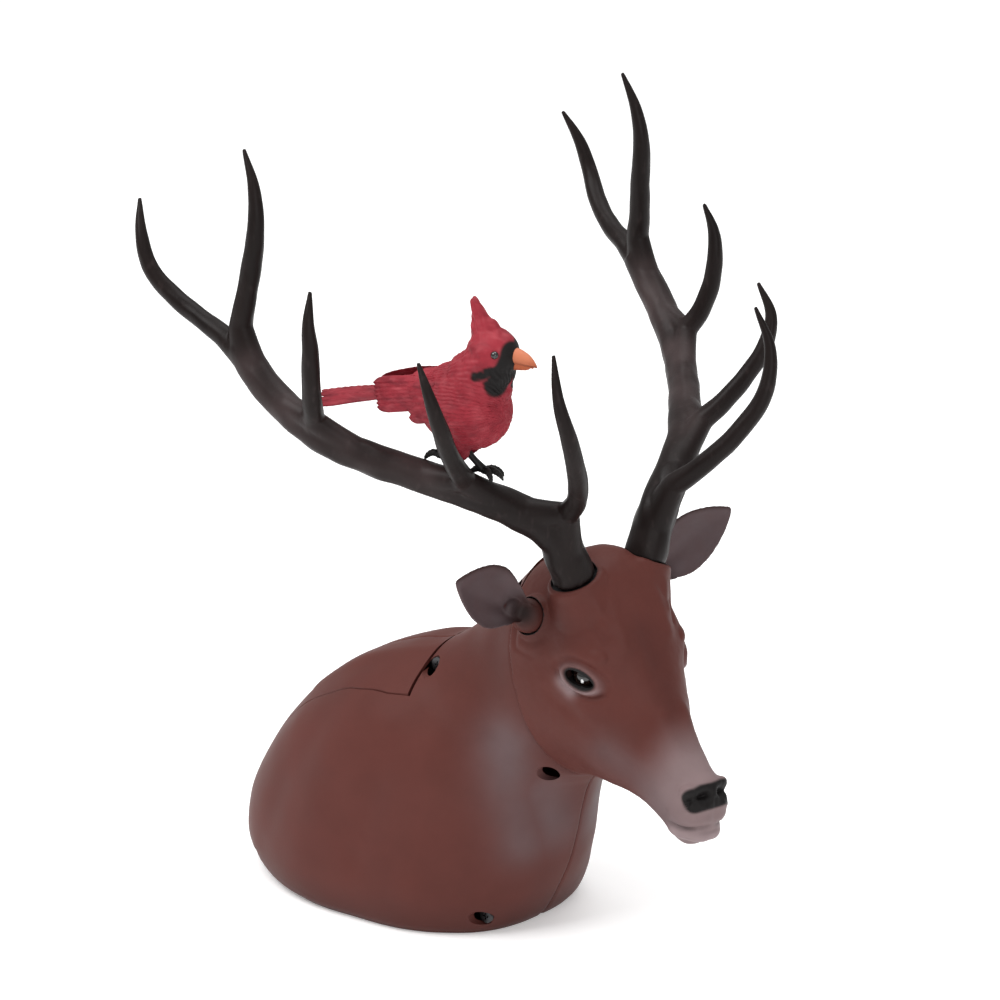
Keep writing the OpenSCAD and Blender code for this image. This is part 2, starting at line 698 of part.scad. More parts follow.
// Cardinal
module on_perch() {
    in_head() translate(bird_at) rotate([0, 0, bird_turn]) children();
}
module egg(p, r, s) {
    translate(p) scale(s) sphere(r = r, $fn = 16);
}
module bird_leg(x, more) {
    translate([x, x / 5, -0.28 * x]) hull() {
        translate([0, 0, 1.6]) sphere(r = 1.5 + more, $fn = 8);
        translate([x > 0 ? -4 : 5, 0, 7]) sphere(r = 1.5 + more, $fn = 8);
    }
}
module bird_body() {
    color(cardinal) on_perch() difference() {
        bird_lumps();
        for (x = perch_feet) bird_leg(x, 2 * fit);
        translate([22.1, 0, 44.5]) rotate([0, 96, 0]) translate([0, 0, -fit]) cylinder(h = 6, r = 5, $fn = 32);
    }
}
module bird_lumps() {
    union() {
        hull() {
            egg([1, 0, 24], 15.5, [1.15, 1, 1.05]);
            egg([-22, 0, 27], 6, [1, 1, 0.8]);
        }
        hull() {
            egg([4, 0, 28], 14, [1, 1, 1]);
            egg([13, 0, 45], 9.6, [1, 1, 1]);
        }
        hull() {
            egg([12, 0, 48], 8.6, [1, 0.95, 1]);
            egg([8, 0, 57], 4, [1, 0.6, 1]);
        }
        hull() {
            egg([8, 0, 57], 4, [1, 0.6, 1]);
            egg([7, 0, 67.4], 0.9, [1, 1, 1]);
        }
        hull() {
            egg([-20, 0, 27], 6, [1, 1, 0.7]);
            egg([-58, 0, 20], 2, [1, 2.4, 0.8]);
        }
        for (s = [-1, 1]) hull() {
            egg([0, s * 6, 14], 5.5, [1, 0.9, 1]);
            egg([1, s * 5.5, 7], 2.2, [1, 1, 1]);
        }
        hull() {
            egg([-10, 0, 30], 10, [1, 1, 0.8]);
            egg([-34, 0, 25], 4, [1, 1.5, 0.7]);
        }
    }
}
module bird_wings() {
    color(cardinal) on_perch() difference() {
        for (s = [-1, 1]) {
            hull() {
                egg([3, s * 13, 33], 4, [1.3, 0.5, 1]);
                egg([-6, s * 13.6, 28], 6, [1.3, 0.45, 1]);
            }
            hull() {
                egg([-6, s * 13.6, 28], 6, [1.3, 0.45, 1]);
                egg([-20, s * 9.5, 28], 4.5, [1.3, 0.5, 1]);
            }
            hull() {
                egg([-20, s * 9.5, 28], 4.5, [1.3, 0.5, 1]);
                egg([-36, s * 5.5, 28.5], 1.6, [1.5, 0.8, 1]);
            }
        }
        scale([1, 1, 1]) hull() {
            egg([1, 0, 24], 15.55, [1.15, 1, 1.05]);
            egg([-22, 0, 27], 6.05, [1, 1, 0.8]);
        }
        hull() {
            egg([4, 0, 28], 14.05, [1, 1, 1]);
            egg([13, 0, 45], 9.65, [1, 1, 1]);
        }
        hull() {
            egg([-20, 0, 27], 6.05, [1, 1, 0.7]);
            egg([-58, 0, 20], 2.05, [1, 2.4, 0.8]);
        }
        hull() {
            egg([-10, 0, 30], 10.05, [1, 1, 0.8]);
            egg([-34, 0, 25], 4.05, [1, 1.5, 0.7]);
        }
    }
}
module bird_beak() {
    color("orange") on_perch() translate([22.1, 0, 44.5]) rotate([0, 96, 0]) rotate_extrude($fn = 32)
        polygon([[0, 0], [4.2, 0], [3.9, 2.2], [2.6, 5.4], [0.5, 8.6], [0, 8.6]]);
}
module bird_eyes() {
    color(dark_plastic) on_perch() for (s = [-1, 1]) translate([17.2, s * 9.6, 48]) sphere(r = 1.3, $fn = 24);
}
module toe(dx, dy) {
    hull() {
        translate([0, 0, 1.6]) sphere(r = 1.5, $fn = 8);
        translate([dx * 0.6, dy * 0.6, 1.6]) sphere(r = 1.2, $fn = 8);
    }
    hull() {
        translate([dx * 0.6, dy * 0.6, 1.6]) sphere(r = 1.2, $fn = 8);
        translate([dx, dy, -0.4]) sphere(r = 0.7, $fn = 8);
    }
}
module bird_feet() {
    color(dark_plastic) on_perch() for (x = perch_feet) {
        bird_leg(x, 0);
        translate([x, x / 5, -0.28 * x]) bird_toes();
    }
}
module bird_toes() {
    toe(6.5, 0);
    toe(4.5, 4.5);
    toe(4.5, -4.5);
    toe(-5, 0);
}
right_body_shell();
left_body_shell();
base_plate();
base_screws();
shell_screws();
ballast_block();
storage_tray();
hinge_bracket();
hatch_hinge_pin();
tray_magnets();
back_hatch();
hatch_hinge_leaf();
hatch_magnets();
neck_ring();
head_shell();
head_back_plate();
head_screws();
neck_pivot_post();
friction_washer();
pivot_clip();
right_antler_socket();
left_antler_socket();
right_eye();
left_eye();
right_ear_bush();
left_ear_bush();
right_antler();
left_antler();
right_antler_peg();
left_antler_peg();
right_ear();
left_ear();
right_ear_pin();
left_ear_pin();
bird_body();
bird_wings();
bird_beak();
bird_eyes();
bird_feet();
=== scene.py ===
"""Stag bust display figure with a perched cardinal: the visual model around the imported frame.

Shapes are modelled in millimetres in the row frame (+X chest, +Y the stag's left, +Z up) and scaled to
metres when a piece is finished. The head, antlers, ears and bird are modelled in the head's own frame.
"""
import json
import math

import bpy
import numpy as np
from mathutils import Matrix, Vector, noise


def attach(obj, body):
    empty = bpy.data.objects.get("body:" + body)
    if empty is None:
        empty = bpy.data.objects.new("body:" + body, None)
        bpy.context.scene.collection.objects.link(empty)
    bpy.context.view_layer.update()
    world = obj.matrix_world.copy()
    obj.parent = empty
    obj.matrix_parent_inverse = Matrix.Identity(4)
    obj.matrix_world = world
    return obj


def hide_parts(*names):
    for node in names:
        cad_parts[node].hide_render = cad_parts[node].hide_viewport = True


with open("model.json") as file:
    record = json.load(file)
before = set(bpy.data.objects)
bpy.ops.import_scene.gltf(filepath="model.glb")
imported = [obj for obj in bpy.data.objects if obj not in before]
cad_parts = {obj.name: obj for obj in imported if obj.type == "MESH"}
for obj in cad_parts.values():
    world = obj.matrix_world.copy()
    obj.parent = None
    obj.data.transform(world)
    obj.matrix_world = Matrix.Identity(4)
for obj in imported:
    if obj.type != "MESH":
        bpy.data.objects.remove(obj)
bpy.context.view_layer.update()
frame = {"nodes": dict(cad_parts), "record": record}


# ---------------------------------------------------------------- camera, light and floor
def make_camera():
    azimuth, elevation, distance = math.radians(39), math.radians(18), 2.15
    target = Vector((0.0443, 0, 0.1669))
    back = Vector((math.sin(azimuth) * math.cos(elevation), -math.cos(azimuth) * math.cos(elevation),
                   math.sin(elevation)))
    data = bpy.data.cameras.new("camera")
    data.sensor_width = 36
    data.lens = 200.5
    data.clip_end = 50
    camera = bpy.data.objects.new("camera", data)
    camera.location = target + back * distance
    camera.rotation_euler = (-back).to_track_quat("-Z", "Y").to_euler()
    bpy.context.scene.collection.objects.link(camera)
    bpy.context.scene.camera = camera


def make_light(name, place, aim, size, power, colour=(1, 1, 1)):
    data = bpy.data.lights.new(name, "AREA")
    data.shape = "RECTANGLE"
    data.size, data.size_y = size
    data.energy = power
    data.color = colour
    light = bpy.data.objects.new(name, data)
    light.location = place
    light.rotation_euler = (Vector(aim) - Vector(place)).to_track_quat("-Z", "Y").to_euler()
    bpy.context.scene.collection.objects.link(light)


def make_stage():
    world = bpy.data.worlds.new("studio")
    world.use_nodes = True
    world.node_tree.nodes["Background"].inputs["Color"].default_value = (1, 1, 1, 1)
    world.node_tree.nodes["Background"].inputs["Strength"].default_value = 0.55
    bpy.context.scene.world = world
    bpy.context.scene.view_settings.view_transform = "Standard"
    make_light("key", (-0.5, -0.9, 1.6), (0.02, 0, 0.12), (1.2, 1.2), 26)
    make_light("top", (0.1, 0.5, 1.8), (0.02, 0, 0.1), (1.5, 1.2), 16)
    make_light("front", (1.6, -0.9, 0.8), (0.06, 0, 0.15), (0.9, 0.9), 8)
    mesh = bpy.data.meshes.new("floor")
    half = 6
    corners = [(-half, -half, 0), (half, -half, 0), (half, half, 0), (-half, half, 0)]
    mesh.from_pydata(corners, [], [(0, 1, 2, 3)])
    floor = bpy.data.objects.new("floor", mesh)
    floor.location.z = -0.0002
    bpy.context.scene.collection.objects.link(floor)
    material = bpy.data.materials.new("floor")
    material.use_nodes = True
    shader = material.node_tree.nodes["Principled BSDF"]
    shader.inputs["Base Color"].default_value = (0.93, 0.93, 0.93, 1)
    shader.inputs["Roughness"].default_value = 0.8
    shader.inputs["Emission Color"].default_value = (1, 1, 1, 1)
    shader.inputs["Emission Strength"].default_value = 0.25
    mesh.materials.append(material)


# ---------------------------------------------------------------- mesh tools
def spline(rows, steps):
    """Catmull-Rom curve through the rows, with steps points for each span."""
    rows = np.array(rows, float)
    rows = np.vstack([2 * rows[0] - rows[1], rows, 2 * rows[-1] - rows[-2]])
    t = np.arange(steps)[:, None] / steps
    out = []
    for a, b, c, d in zip(rows, rows[1:], rows[2:], rows[3:]):
        out.append(0.5 * (2 * b + (c - a) * t + (2 * a - 5 * b + 4 * c - d) * t ** 2
                          + (3 * b - a - 3 * c + d) * t ** 3))
    return np.vstack(out + [rows[-2:-1]])


def squared(v, n):
    return np.sign(v) * np.abs(v) ** (2 / n)


def make_object(name, points, faces):
    mesh = bpy.data.meshes.new(name)
    mesh.from_pydata([tuple(p) for p in points], [], faces)
    obj = bpy.data.objects.new(name, mesh)
    bpy.context.scene.collection.objects.link(obj)
    return obj


def loft(name, rings):
    """Closed solid through rings of points that run anticlockwise seen from the next ring."""
    rings = np.array(rings, float)
    count, n = rings.shape[:2]
    points = np.vstack([rings.reshape(-1, 3), rings[0].mean(0), rings[-1].mean(0)])
    first, last = count * n, count * n + 1
    faces = [(k * n + i, k * n + (i + 1) % n, (k + 1) * n + (i + 1) % n, (k + 1) * n + i)
             for k in range(count - 1) for i in range(n)]
    faces += [(first, (i + 1) % n, i) for i in range(n)]
    faces += [(last, (count - 1) * n + i, (count - 1) * n + (i + 1) % n) for i in range(n)]
    return make_object(name, points, faces)


def ball(name, place, radius, stretch=(1, 1, 1), turn=None):
    """Rounded lump: an ellipsoid of 24 rings, turned by a matrix if given."""
    u = np.linspace(0, 2 * np.pi, 33)[:-1]
    v = np.linspace(-np.pi / 2, np.pi / 2, 25)[1:-1]
    rings = [np.stack([np.cos(a) * np.cos(u), np.cos(a) * np.sin(u), np.full(32, np.sin(a))], 1) for a in v]
    rings = np.array(rings) * np.array(stretch) * radius
    if turn is not None:
        rings = rings @ np.array(turn).T
    return loft(name, rings + np.array(place))


def frame_of(direction):
    """Rotation matrix whose third column is the direction."""
    return np.array(Vector(direction).to_track_quat("Z", "Y").to_matrix())


def rod(name, start, direction, low, high, radius, sides=48):
    """Cylinder along a direction, between two distances from its start."""
    turn = frame_of(direction)
    u = np.linspace(0, 2 * np.pi, sides + 1)[:-1]
    circle = np.stack([np.cos(u) * radius, np.sin(u) * radius, np.zeros(sides)], 1)
    return loft(name, [(circle + (0, 0, h)) @ turn.T + np.array(start) for h in (low, high)])


def tube(name, path, steps, sides, relief=None):
    """Tapered tube along rows of x, y, z, radius."""
    rows = spline(path, steps)
    centre, radius = rows[:, :3], rows[:, 3]
    forward = np.gradient(centre, axis=0)
    forward /= np.linalg.norm(forward, axis=1)[:, None]
    side = np.cross(forward, (0, 1, 0))
    side /= np.linalg.norm(side, axis=1)[:, None]
    up = np.cross(forward, side)
    u = np.linspace(0, 2 * np.pi, sides + 1)[:-1]
    length = np.concatenate([[0], np.cumsum(np.linalg.norm(np.diff(centre, axis=0), axis=1))])
    rings = []
    for i in range(len(rows)):
        r = np.full(sides, radius[i])
        if relief:
            r = r * (1 + relief(u, length[i]))
        across = np.cos(u)[:, None] * r[:, None] * side[i]
        upward = np.sin(u)[:, None] * r[:, None] * up[i]
        rings.append(centre[i] + across + upward)
    return loft(name, rings)


def evaluated(obj):
    """Replaces an object's mesh with the result of its modifiers."""
    graph = bpy.context.evaluated_depsgraph_get()
    mesh = bpy.data.meshes.new_from_object(obj.evaluated_get(graph))
    obj.modifiers.clear()
    obj.data = mesh
    return obj


def boolean(obj, other, operation, keep=False):
    modifier = obj.modifiers.new("cut", "BOOLEAN")
    modifier.operation = operation
    modifier.solver = "MANIFOLD"
    modifier.object = other
    evaluated(obj)
    if not keep:
        bpy.data.objects.remove(other)
    return obj


def joined(pieces, name):
    """One object from several, which are removed."""
    points, faces = [], []
    for p in pieces:
        base = len(points)
        points += [v.co[:] for v in p.data.vertices]
        faces += [[base + i for i in f.vertices] for f in p.data.polygons]
        bpy.data.objects.remove(p)
    return make_object(name, points, faces)


def fuse(pieces, name, voxel, passes):
    """Joins lumps into one skin of small faces and lets it settle."""
    obj = joined(pieces, name)
    modifier = obj.modifiers.new("skin", "REMESH")
    modifier.mode = "VOXEL"
    modifier.voxel_size = voxel
    evaluated(obj)
    relax(obj, passes)
    return obj


def points_of(obj):
    co = np.zeros(len(obj.data.vertices) * 3)
    obj.data.vertices.foreach_get("co", co)
    return co.reshape(-1, 3)


def normals_of(obj):
    n = np.zeros(len(obj.data.vertices) * 3)
    obj.data.vertex_normals.foreach_get("vector", n)
    return n.reshape(-1, 3)


def move_points(obj, co):
    obj.data.vertices.foreach_set("co", co.ravel())
    obj.data.update()


def relax(obj, passes, share=None):
    """Laplacian smoothing; share is how much each vertex takes part."""
    co = points_of(obj)
    edges = np.zeros(len(obj.data.edges) * 2, int)
    obj.data.edges.foreach_get("vertices", edges)
    a, b = edges.reshape(-1, 2).T
    count = np.maximum(np.bincount(edges, minlength=len(co)), 1)
    weight = 0.5 if share is None else 0.5 * share[:, None]
    for _ in range(passes):
        total = [np.bincount(a, co[b, k], len(co)) + np.bincount(b, co[a, k], len(co)) for k in range(3)]
        mean = np.stack(total, 1)
        co = co + (mean / count[:, None] - co) * weight
    move_points(obj, co)
    return obj


def distance_to(points, line):
    """Distance from each point to a polyline."""
    line = np.array(line, float)
    best = np.full(len(points), 1e9)
    if len(line) == 1:
        return np.linalg.norm(points - line[0], axis=1)
    for a, b in zip(line, line[1:]):
        d = b - a
        t = np.clip((points - a) @ d / (d @ d), 0, 1)
        best = np.minimum(best, np.linalg.norm(points - a - t[:, None] * d, axis=1))
    return best


def bell(d, width):
    return np.exp(-(d / width) ** 2)


def fade(value, start, end):
    t = np.clip((value - start) / (end - start), 0, 1)
    return t * t * (3 - 2 * t)


def wobble(points, size, octaves=2):
    """Smooth noise at each point, about -1 to 1."""
    p = points / size
    return np.array([noise.fractal(Vector(q), 1.0, 2.0, octaves) for q in p])


def push(obj, amount):
    co = points_of(obj)
    move_points(obj, co + normals_of(obj) * np.asarray(amount)[:, None])
    return obj


def copied(obj, name):
    """Copy of a piece under another name."""
    return make_object(name, points_of(obj), [tuple(f.vertices) for f in obj.data.polygons])


def mirrored(obj, name):
    """Copy of a piece on the other side of the head's middle plane."""
    co = points_of(obj) * (1, -1, 1)
    faces = [tuple(reversed(f.vertices)) for f in obj.data.polygons]
    return make_object(name, co, faces)


def transform(obj, matrix, place=(0, 0, 0)):
    move_points(obj, points_of(obj) @ np.array(matrix).T + np.array(place))
    return obj


def finished(obj, body, material, replaces=(), paint=None, sharp=38):
    """Scales a piece to metres, paints it and hangs it on its body."""
    mesh = obj.data
    if paint is not None:
        layer = mesh.attributes.new("paint", "FLOAT_COLOR", "POINT")
        rgba = np.concatenate([paint, np.ones((len(paint), 1))], 1).astype(np.float32)
        layer.data.foreach_set("color", rgba.ravel())
    move_points(obj, points_of(obj) * 0.001)
    mesh.polygons.foreach_set("use_smooth", np.ones(len(mesh.polygons), bool))
    mesh.set_sharp_from_angle(angle=math.radians(sharp))
    mesh.materials.clear()
    mesh.materials.append(material)
    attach(obj, body)
    if replaces:
        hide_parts(*replaces)
    return obj


def mix(a, b, share):
    share = np.asarray(share)[:, None]
    return a * (1 - share) + b * share


def flat(points, colour):
    return np.tile(np.array(colour, float), (len(points), 1))


# ---------------------------------------------------------------- materials
def moulded(name, roughness=0.55, grain=9000.0, bump=0.12, mottle=0.12, colour=None, metal=0.0, coat=0.0,
            streak=None, specular=0.14):
    """Painted or moulded plastic or metal: paint colour with fine mottling, and a fine-grained bump."""
    material = bpy.data.materials.new(name)
    material.use_nodes = True
    tree = material.node_tree
    shader = tree.nodes["Principled BSDF"]
    shader.inputs["Metallic"].default_value = metal
    shader.inputs["Specular IOR Level"].default_value = specular
    shader.inputs["Coat Weight"].default_value = coat
    where = tree.nodes.new("ShaderNodeTexCoord")
    place = where.outputs["Object"]
    if streak:
        stretch = tree.nodes.new("ShaderNodeMapping")
        stretch.inputs["Scale"].default_value = streak
        tree.links.new(place, stretch.inputs["Vector"])
        place = stretch.outputs["Vector"]
    cloud = tree.nodes.new("ShaderNodeTexNoise")
    cloud.inputs["Scale"].default_value = 55
    cloud.inputs["Detail"].default_value = 6
    tree.links.new(place, cloud.inputs["Vector"])
    fine = tree.nodes.new("ShaderNodeTexNoise")
    fine.inputs["Scale"].default_value = grain / 10
    fine.inputs["Detail"].default_value = 3
    tree.links.new(place, fine.inputs["Vector"])
    ramp = tree.nodes.new("ShaderNodeMapRange")
    ramp.inputs["From Min"].default_value = 0.3
    ramp.inputs["From Max"].default_value = 0.7
    ramp.inputs["To Min"].default_value = 1 - mottle
    ramp.inputs["To Max"].default_value = 1 + mottle
    tree.links.new(cloud.outputs["Fac"], ramp.inputs["Value"])
    scale = tree.nodes.new("ShaderNodeVectorMath")
    scale.operation = "SCALE"
    if colour is None:
        source = tree.nodes.new("ShaderNodeAttribute")
        source.attribute_name = "paint"
        tree.links.new(source.outputs["Color"], scale.inputs[0])
    else:
        scale.inputs[0].default_value = colour
    tree.links.new(ramp.outputs["Result"], scale.inputs["Scale"])
    tree.links.new(scale.outputs["Vector"], shader.inputs["Base Color"])
    rough = tree.nodes.new("ShaderNodeMapRange")
    rough.inputs["To Min"].default_value = roughness - 0.07
    rough.inputs["To Max"].default_value = roughness + 0.1
    tree.links.new(cloud.outputs["Fac"], rough.inputs["Value"])
    tree.links.new(rough.outputs["Result"], shader.inputs["Roughness"])
    relief = tree.nodes.new("ShaderNodeBump")
    relief.inputs["Strength"].default_value = bump
    relief.inputs["Distance"].default_value = 0.0003
    tree.links.new(fine.outputs["Fac"], relief.inputs["Height"])
    tree.links.new(relief.outputs["Normal"], shader.inputs["Normal"])
    return material


HIDE = np.array([0.086, 0.024, 0.019])
HIDE_DARK = np.array([0.042, 0.013, 0.011])
HIDE_GREY = np.array([0.108, 0.072, 0.074])
MUZZLE = np.array([0.205, 0.155, 0.158])
BLACK = np.array([0.006, 0.005, 0.005])
ANTLER = np.array([0.0075, 0.0042, 0.0038])
ANTLER_PALE = np.array([0.075, 0.052, 0.052])
EAR_INSIDE = np.array([0.085, 0.062, 0.066])
CRIMSON = np.array([0.255, 0.022, 0.033])
CRIMSON_DARK = np.array([0.085, 0.008, 0.014])
CRIMSON_PALE = np.array([0.42, 0.085, 0.100])


def make_materials():
    return {
        "hide": moulded("hide", 0.5, bump=0.10, mottle=0.07),
        "antler": moulded("antler", 0.42, bump=0.2, mottle=0.25, streak=(1, 1, 0.4)),
        "feathers": moulded("feathers", 0.5, bump=0.2, mottle=0.16),
        "black": moulded("black_plastic", 0.5, colour=(0.018, 0.018, 0.019)),
        "claws": moulded("claws", 0.4, colour=(0.012, 0.011, 0.011), grain=6000),
        "steel": moulded("steel", 0.38, colour=(0.075, 0.075, 0.078), metal=1.0, mottle=0.06),
        "iron": moulded("iron", 0.62, colour=(0.12, 0.12, 0.125), metal=1.0, bump=0.5, mottle=0.2),
        "eye": moulded("eye", 0.1, bump=0.0, mottle=0.02, coat=0.6, specular=0.5),
        "beak": moulded("beak", 0.38, bump=0.1, mottle=0.1),
    }


# ---------------------------------------------------------------- body
BODY_STATIONS = [
    [65, 0, -59, 0, 48.5, 2.6, 2.05, 0],
    [68.5, 4, -65, 4, 52, 2.5, 2.1, 0],
    [74, 14, -71.5, 14, 54, 2.35, 2.15, 0],
    [79.5, 26, -71, 29, 53, 2.1, 2.15, 0],
    [83, 38, -65, 45, 51, 1.95, 2.1, 0],
    [85, 48, -54, 62, 48.5, 1.9, 2.05, 0],
    [87, 56, -39, 78, 45.5, 1.9, 2, 0],
    [89, 61, -19, 93, 41.5, 1.9, 2, 0],
    [91, 64, 3, 102.5, 38, 1.95, 2, 0.1],
    [92.5, 66, 22, 107.5, 35.5, 2, 2, 0.25],
    [94, 67, 38, 118, 33.5, 2, 2, 0.45],
    [94.5, 68, 53, 134, 32.5, 2, 2, 0.75],
    [94.5, 68.5, 70, 151, 32, 2, 2, 1]]
NECK_X = 84
HEAD_YAW = math.radians(-11)
WALL = 2.4
SEAM_GAP = 0.28
BEYOND = 200
HATCH_FRONT_X = 23.5
HATCH_CORNER = (26, 33)
HATCH_EDGE = [[15, 33.3], [8, 32.6], [0, 31.6], [-8, 29.6],
              [-18, 27.7], [-28, 25.4], [-38, 22.8], [-48, 20]]
HATCH_REAR_X = -58
SHELL_SCREWS = [[85, 70, 11], [28, 101, 17], [66, 139, 9], [61, 7.5, 28], [-50, 9, 24]]


def body_rings(steps, sides, inset=0.0, overrun=False):
    rows = np.array(BODY_STATIONS, float)
    chord = rows[:, 0:2] - rows[:, 2:4]
    chord *= inset / np.linalg.norm(chord, axis=1)[:, None]
    rows[:, 0:2] -= chord
    rows[:, 2:4] += chord
    rows[:, 4] -= inset
    if overrun:
        low, high = rows[0].copy(), rows[-1].copy()
        low[[1, 3]] -= 2
        high[[0, 2]] += 2
        high[[1, 3]] += 0.6
        rows = np.vstack([low, rows, high])
    u = np.linspace(0, 2 * np.pi, sides + 1)[:-1]
    rings = []
    for fx, fz, bx, bz, w, nf, nr, turn in spline(rows, steps):
        n = np.where(np.cos(u) > 0, nf, nr)
        c, s = squared(np.cos(u), n), squared(np.sin(u), n)
        x, y = (fx + bx) / 2 + (fx - bx) / 2 * c - NECK_X, w * s
        a = HEAD_YAW * turn
        turned_x = NECK_X + x * math.cos(a) - y * math.sin(a)
        turned_y = x * math.sin(a) + y * math.cos(a)
        rings.append(np.stack([turned_x, turned_y, (fz + bz) / 2 + (fz - bz) / 2 * c], 1))
    return rings


def hatch_plan(gap, end_gap):
    """Half outline of the hatch seen from above, from the front middle to the rear middle."""
    edge = spline(HATCH_EDGE, 6) - (0, gap)
    front = [[HATCH_FRONT_X - end_gap, 0], [HATCH_CORNER[0] - end_gap, HATCH_CORNER[1] - gap]]
    rear = [[HATCH_REAR_X + 3, 18.5 - gap], [HATCH_REAR_X + end_gap, 15 - gap], [HATCH_REAR_X + end_gap, 0]]
    return np.vstack([front, edge, rear])


def hatch_prism(gap, end_gap):
    half = hatch_plan(gap, end_gap)
    outline = np.vstack([half, half[-2:0:-1] * (1, -1)])
    rings = [np.column_stack([outline, np.full(len(outline), z)]) for z in (48, 128)]
    return loft("prism", rings)


def block(low, high):
    low, high = np.array(low, float), np.array(high, float)
    square = np.array([[low[0], low[1]], [high[0], low[1]], [high[0], high[1]], [low[0], high[1]]])
    return loft("block", [np.column_stack([square, np.full(4, z)]) for z in (low[2], high[2])])


def body_relief(co):
    """Muscles, folds and the shallow groove of the seam."""
    q = co * (1, 1, 1)
    q[:, 1] = np.abs(q[:, 1])
    out = np.zeros(len(co))
    out += 1.7 * bell(distance_to(q, [(58, 47, 74), (46, 52, 45), (40, 52, 22)]), 12)
    out -= 1.4 * bell(distance_to(q, [(72, 36, 66), (68, 42, 42), (64, 44, 20)]), 7)
    out += 1.0 * bell(distance_to(q, [(84, 22, 62), (82, 26, 34)]), 8)
    out -= 1.2 * bell(distance_to(q, [(34, 42, 92), (22, 52, 62), (14, 54, 30)]), 8)
    out += 1.2 * bell(distance_to(q, [(4, 44, 84), (-8, 52, 55), (-14, 54, 26)]), 12)
    out -= 0.8 * bell(distance_to(q, [(-22, 44, 70), (-34, 46, 42), (-40, 46, 20)]), 9)
    out -= 1.1 * bell(distance_to(q, [(60, 33, 128), (62, 38, 98), (70, 34, 80)]), 8)
    out += 0.9 * bell(distance_to(q, [(78, 30, 120), (80, 32, 92)]), 10)
    top = fade(co[:, 2], 60, 80)
    out += top * 0.9 * bell(distance_to(q, [(18, 14, 104), (-10, 15, 94), (-36, 13, 76)]), 5)
    out -= top * 0.7 * bell(np.abs(co[:, 1]), 7) * fade(-co[:, 0], -40, -10)
    out += 0.35 * wobble(co, 26)
    out -= 0.38 * bell(np.abs(co[:, 1]), 0.6) * (1 - fade(co[:, 2], 140, 150))
    return out


def body_paint(co):
    """Maroon-brown with an airbrushed lilac-grey patch down the side of the neck and over the chest, and painted
    shade towards the bottom and in the neck crease.
    """
    q = co * (1, 1, 1)
    q[:, 1] = np.abs(q[:, 1])
    colour = flat(co, HIDE)
    # painted shade: the hide darkens towards the floor, standing in for the shadow at the base
    colour = mix(colour, HIDE_DARK, 0.45 * fade(18 - co[:, 2], 0, 18))
    # painted shade in the crease down the side of the neck, along the groove cut in body_relief
    colour = mix(colour, HIDE_DARK, 0.35 * bell(distance_to(q, [(60, 33, 128), (66, 40, 92)]), 11))
    patch = bell(distance_to(q, [(72, 33, 82), (77, 34, 58), (80, 27, 40)]), 11.5)
    patch = np.maximum(patch, 0.8 * bell(distance_to(q, [(84, 20, 60), (83, 12, 44)]), 11))
    patch *= 1 + 0.12 * wobble(co, 9)
    return mix(colour, HIDE_GREY, np.clip(0.92 * patch, 0, 1))


def make_body(materials):
    outer = loft("outer", body_rings(20, 420))
    push(outer, body_relief(points_of(outer)))
    co = points_of(outer)
    co[:, 2] = np.maximum(co[:, 2], 0)
    move_points(outer, co)
    inner = loft("inner", body_rings(6, 120, WALL, overrun=True))
    shell = boolean(outer, inner, "DIFFERENCE")
    lid = copied(shell, "back_hatch_cover")
    boolean(lid, hatch_prism(0.6, 1.5), "INTERSECT")
    boolean(shell, hatch_prism(0, 0), "DIFFERENCE")
    for x, z, depth in SHELL_SCREWS:
        boolean(shell, rod("well", (x, 0, z), (0, -1, 0), depth, 70, 3.25), "DIFFERENCE")
    for name, low_y, high_y in (("right", -BEYOND, -SEAM_GAP / 2), ("left", SEAM_GAP / 2, BEYOND)):
        half = copied(shell, name + "_shell_skin")
        boolean(half, block((-BEYOND, low_y, -50), (BEYOND, high_y, 250)), "INTERSECT")
        paint = body_paint(points_of(half))
        finished(half, "body", materials["hide"], [name + "_body_shell"], paint)
    bpy.data.objects.remove(shell)
    finished(lid, "hatch", materials["hide"], ["back_hatch"], body_paint(points_of(lid)))


# ---------------------------------------------------------------- head
HEAD_ORIGIN = np.array([74, 0, 101.5])
HEAD_TURN = np.array([[math.cos(HEAD_YAW), -math.sin(HEAD_YAW), 0],
                      [math.sin(HEAD_YAW), math.cos(HEAD_YAW), 0], [0, 0, 1]])
NECK_GAP = 0.8
HEAD_STATIONS = [
    [-3.6 + NECK_GAP, 49, 20.2 + NECK_GAP, -33.5, 32, 2],
    [10, 54.5, 25, -33, 30.5, 2.1],
    [22, 58.5, 31, -31.5, 28.5, 2.2],
    [33, 57, 38, -31.5, 26.5, 2.2],
    [42, 48, 45, -32, 24.5, 2.2],
    [49, 36, 52, -33, 21, 2.2],
    [55, 24, 58, -35, 17, 2.2],
    [60, 14, 63, -38, 14, 2.2],
    [66, 4.5, 68, -41, 12.3, 2.2],
    [72, -4, 73, -44.5, 11.3, 2.2],
    [78, -11, 77, -46, 10.8, 2.2],
    [83.5, -15, 80.5, -45, 10, 2.2],
    [87.5, -17.5, 84, -42, 8.6, 2.1],
    [90, -21.5, 87, -38.5, 6, 2],
    [90.5, -26, 89, -34, 2.8, 2]]
EYE = np.array([37.5, 18.4, 15])
EYE_R = 5.6
EAR_ROOT = np.array([15, 27, 34.0])
EAR_TIP = np.array([21, 69.5, 59])
ANTLER_BASE = np.array([28.6, 17.5, 51.4])
SOCKET_DIR = np.array([-0.04, 0.38, 0.924])
SOCKET_R = 9.3
MOUTH = [(68, 12.2, -31), (74, 11.4, -35), (81, 9.6, -36.2), (87, 6.3, -36), (90.3, 0, -35.2)]
TEAR_DUCT = (44.5, 16.3, 10.5)


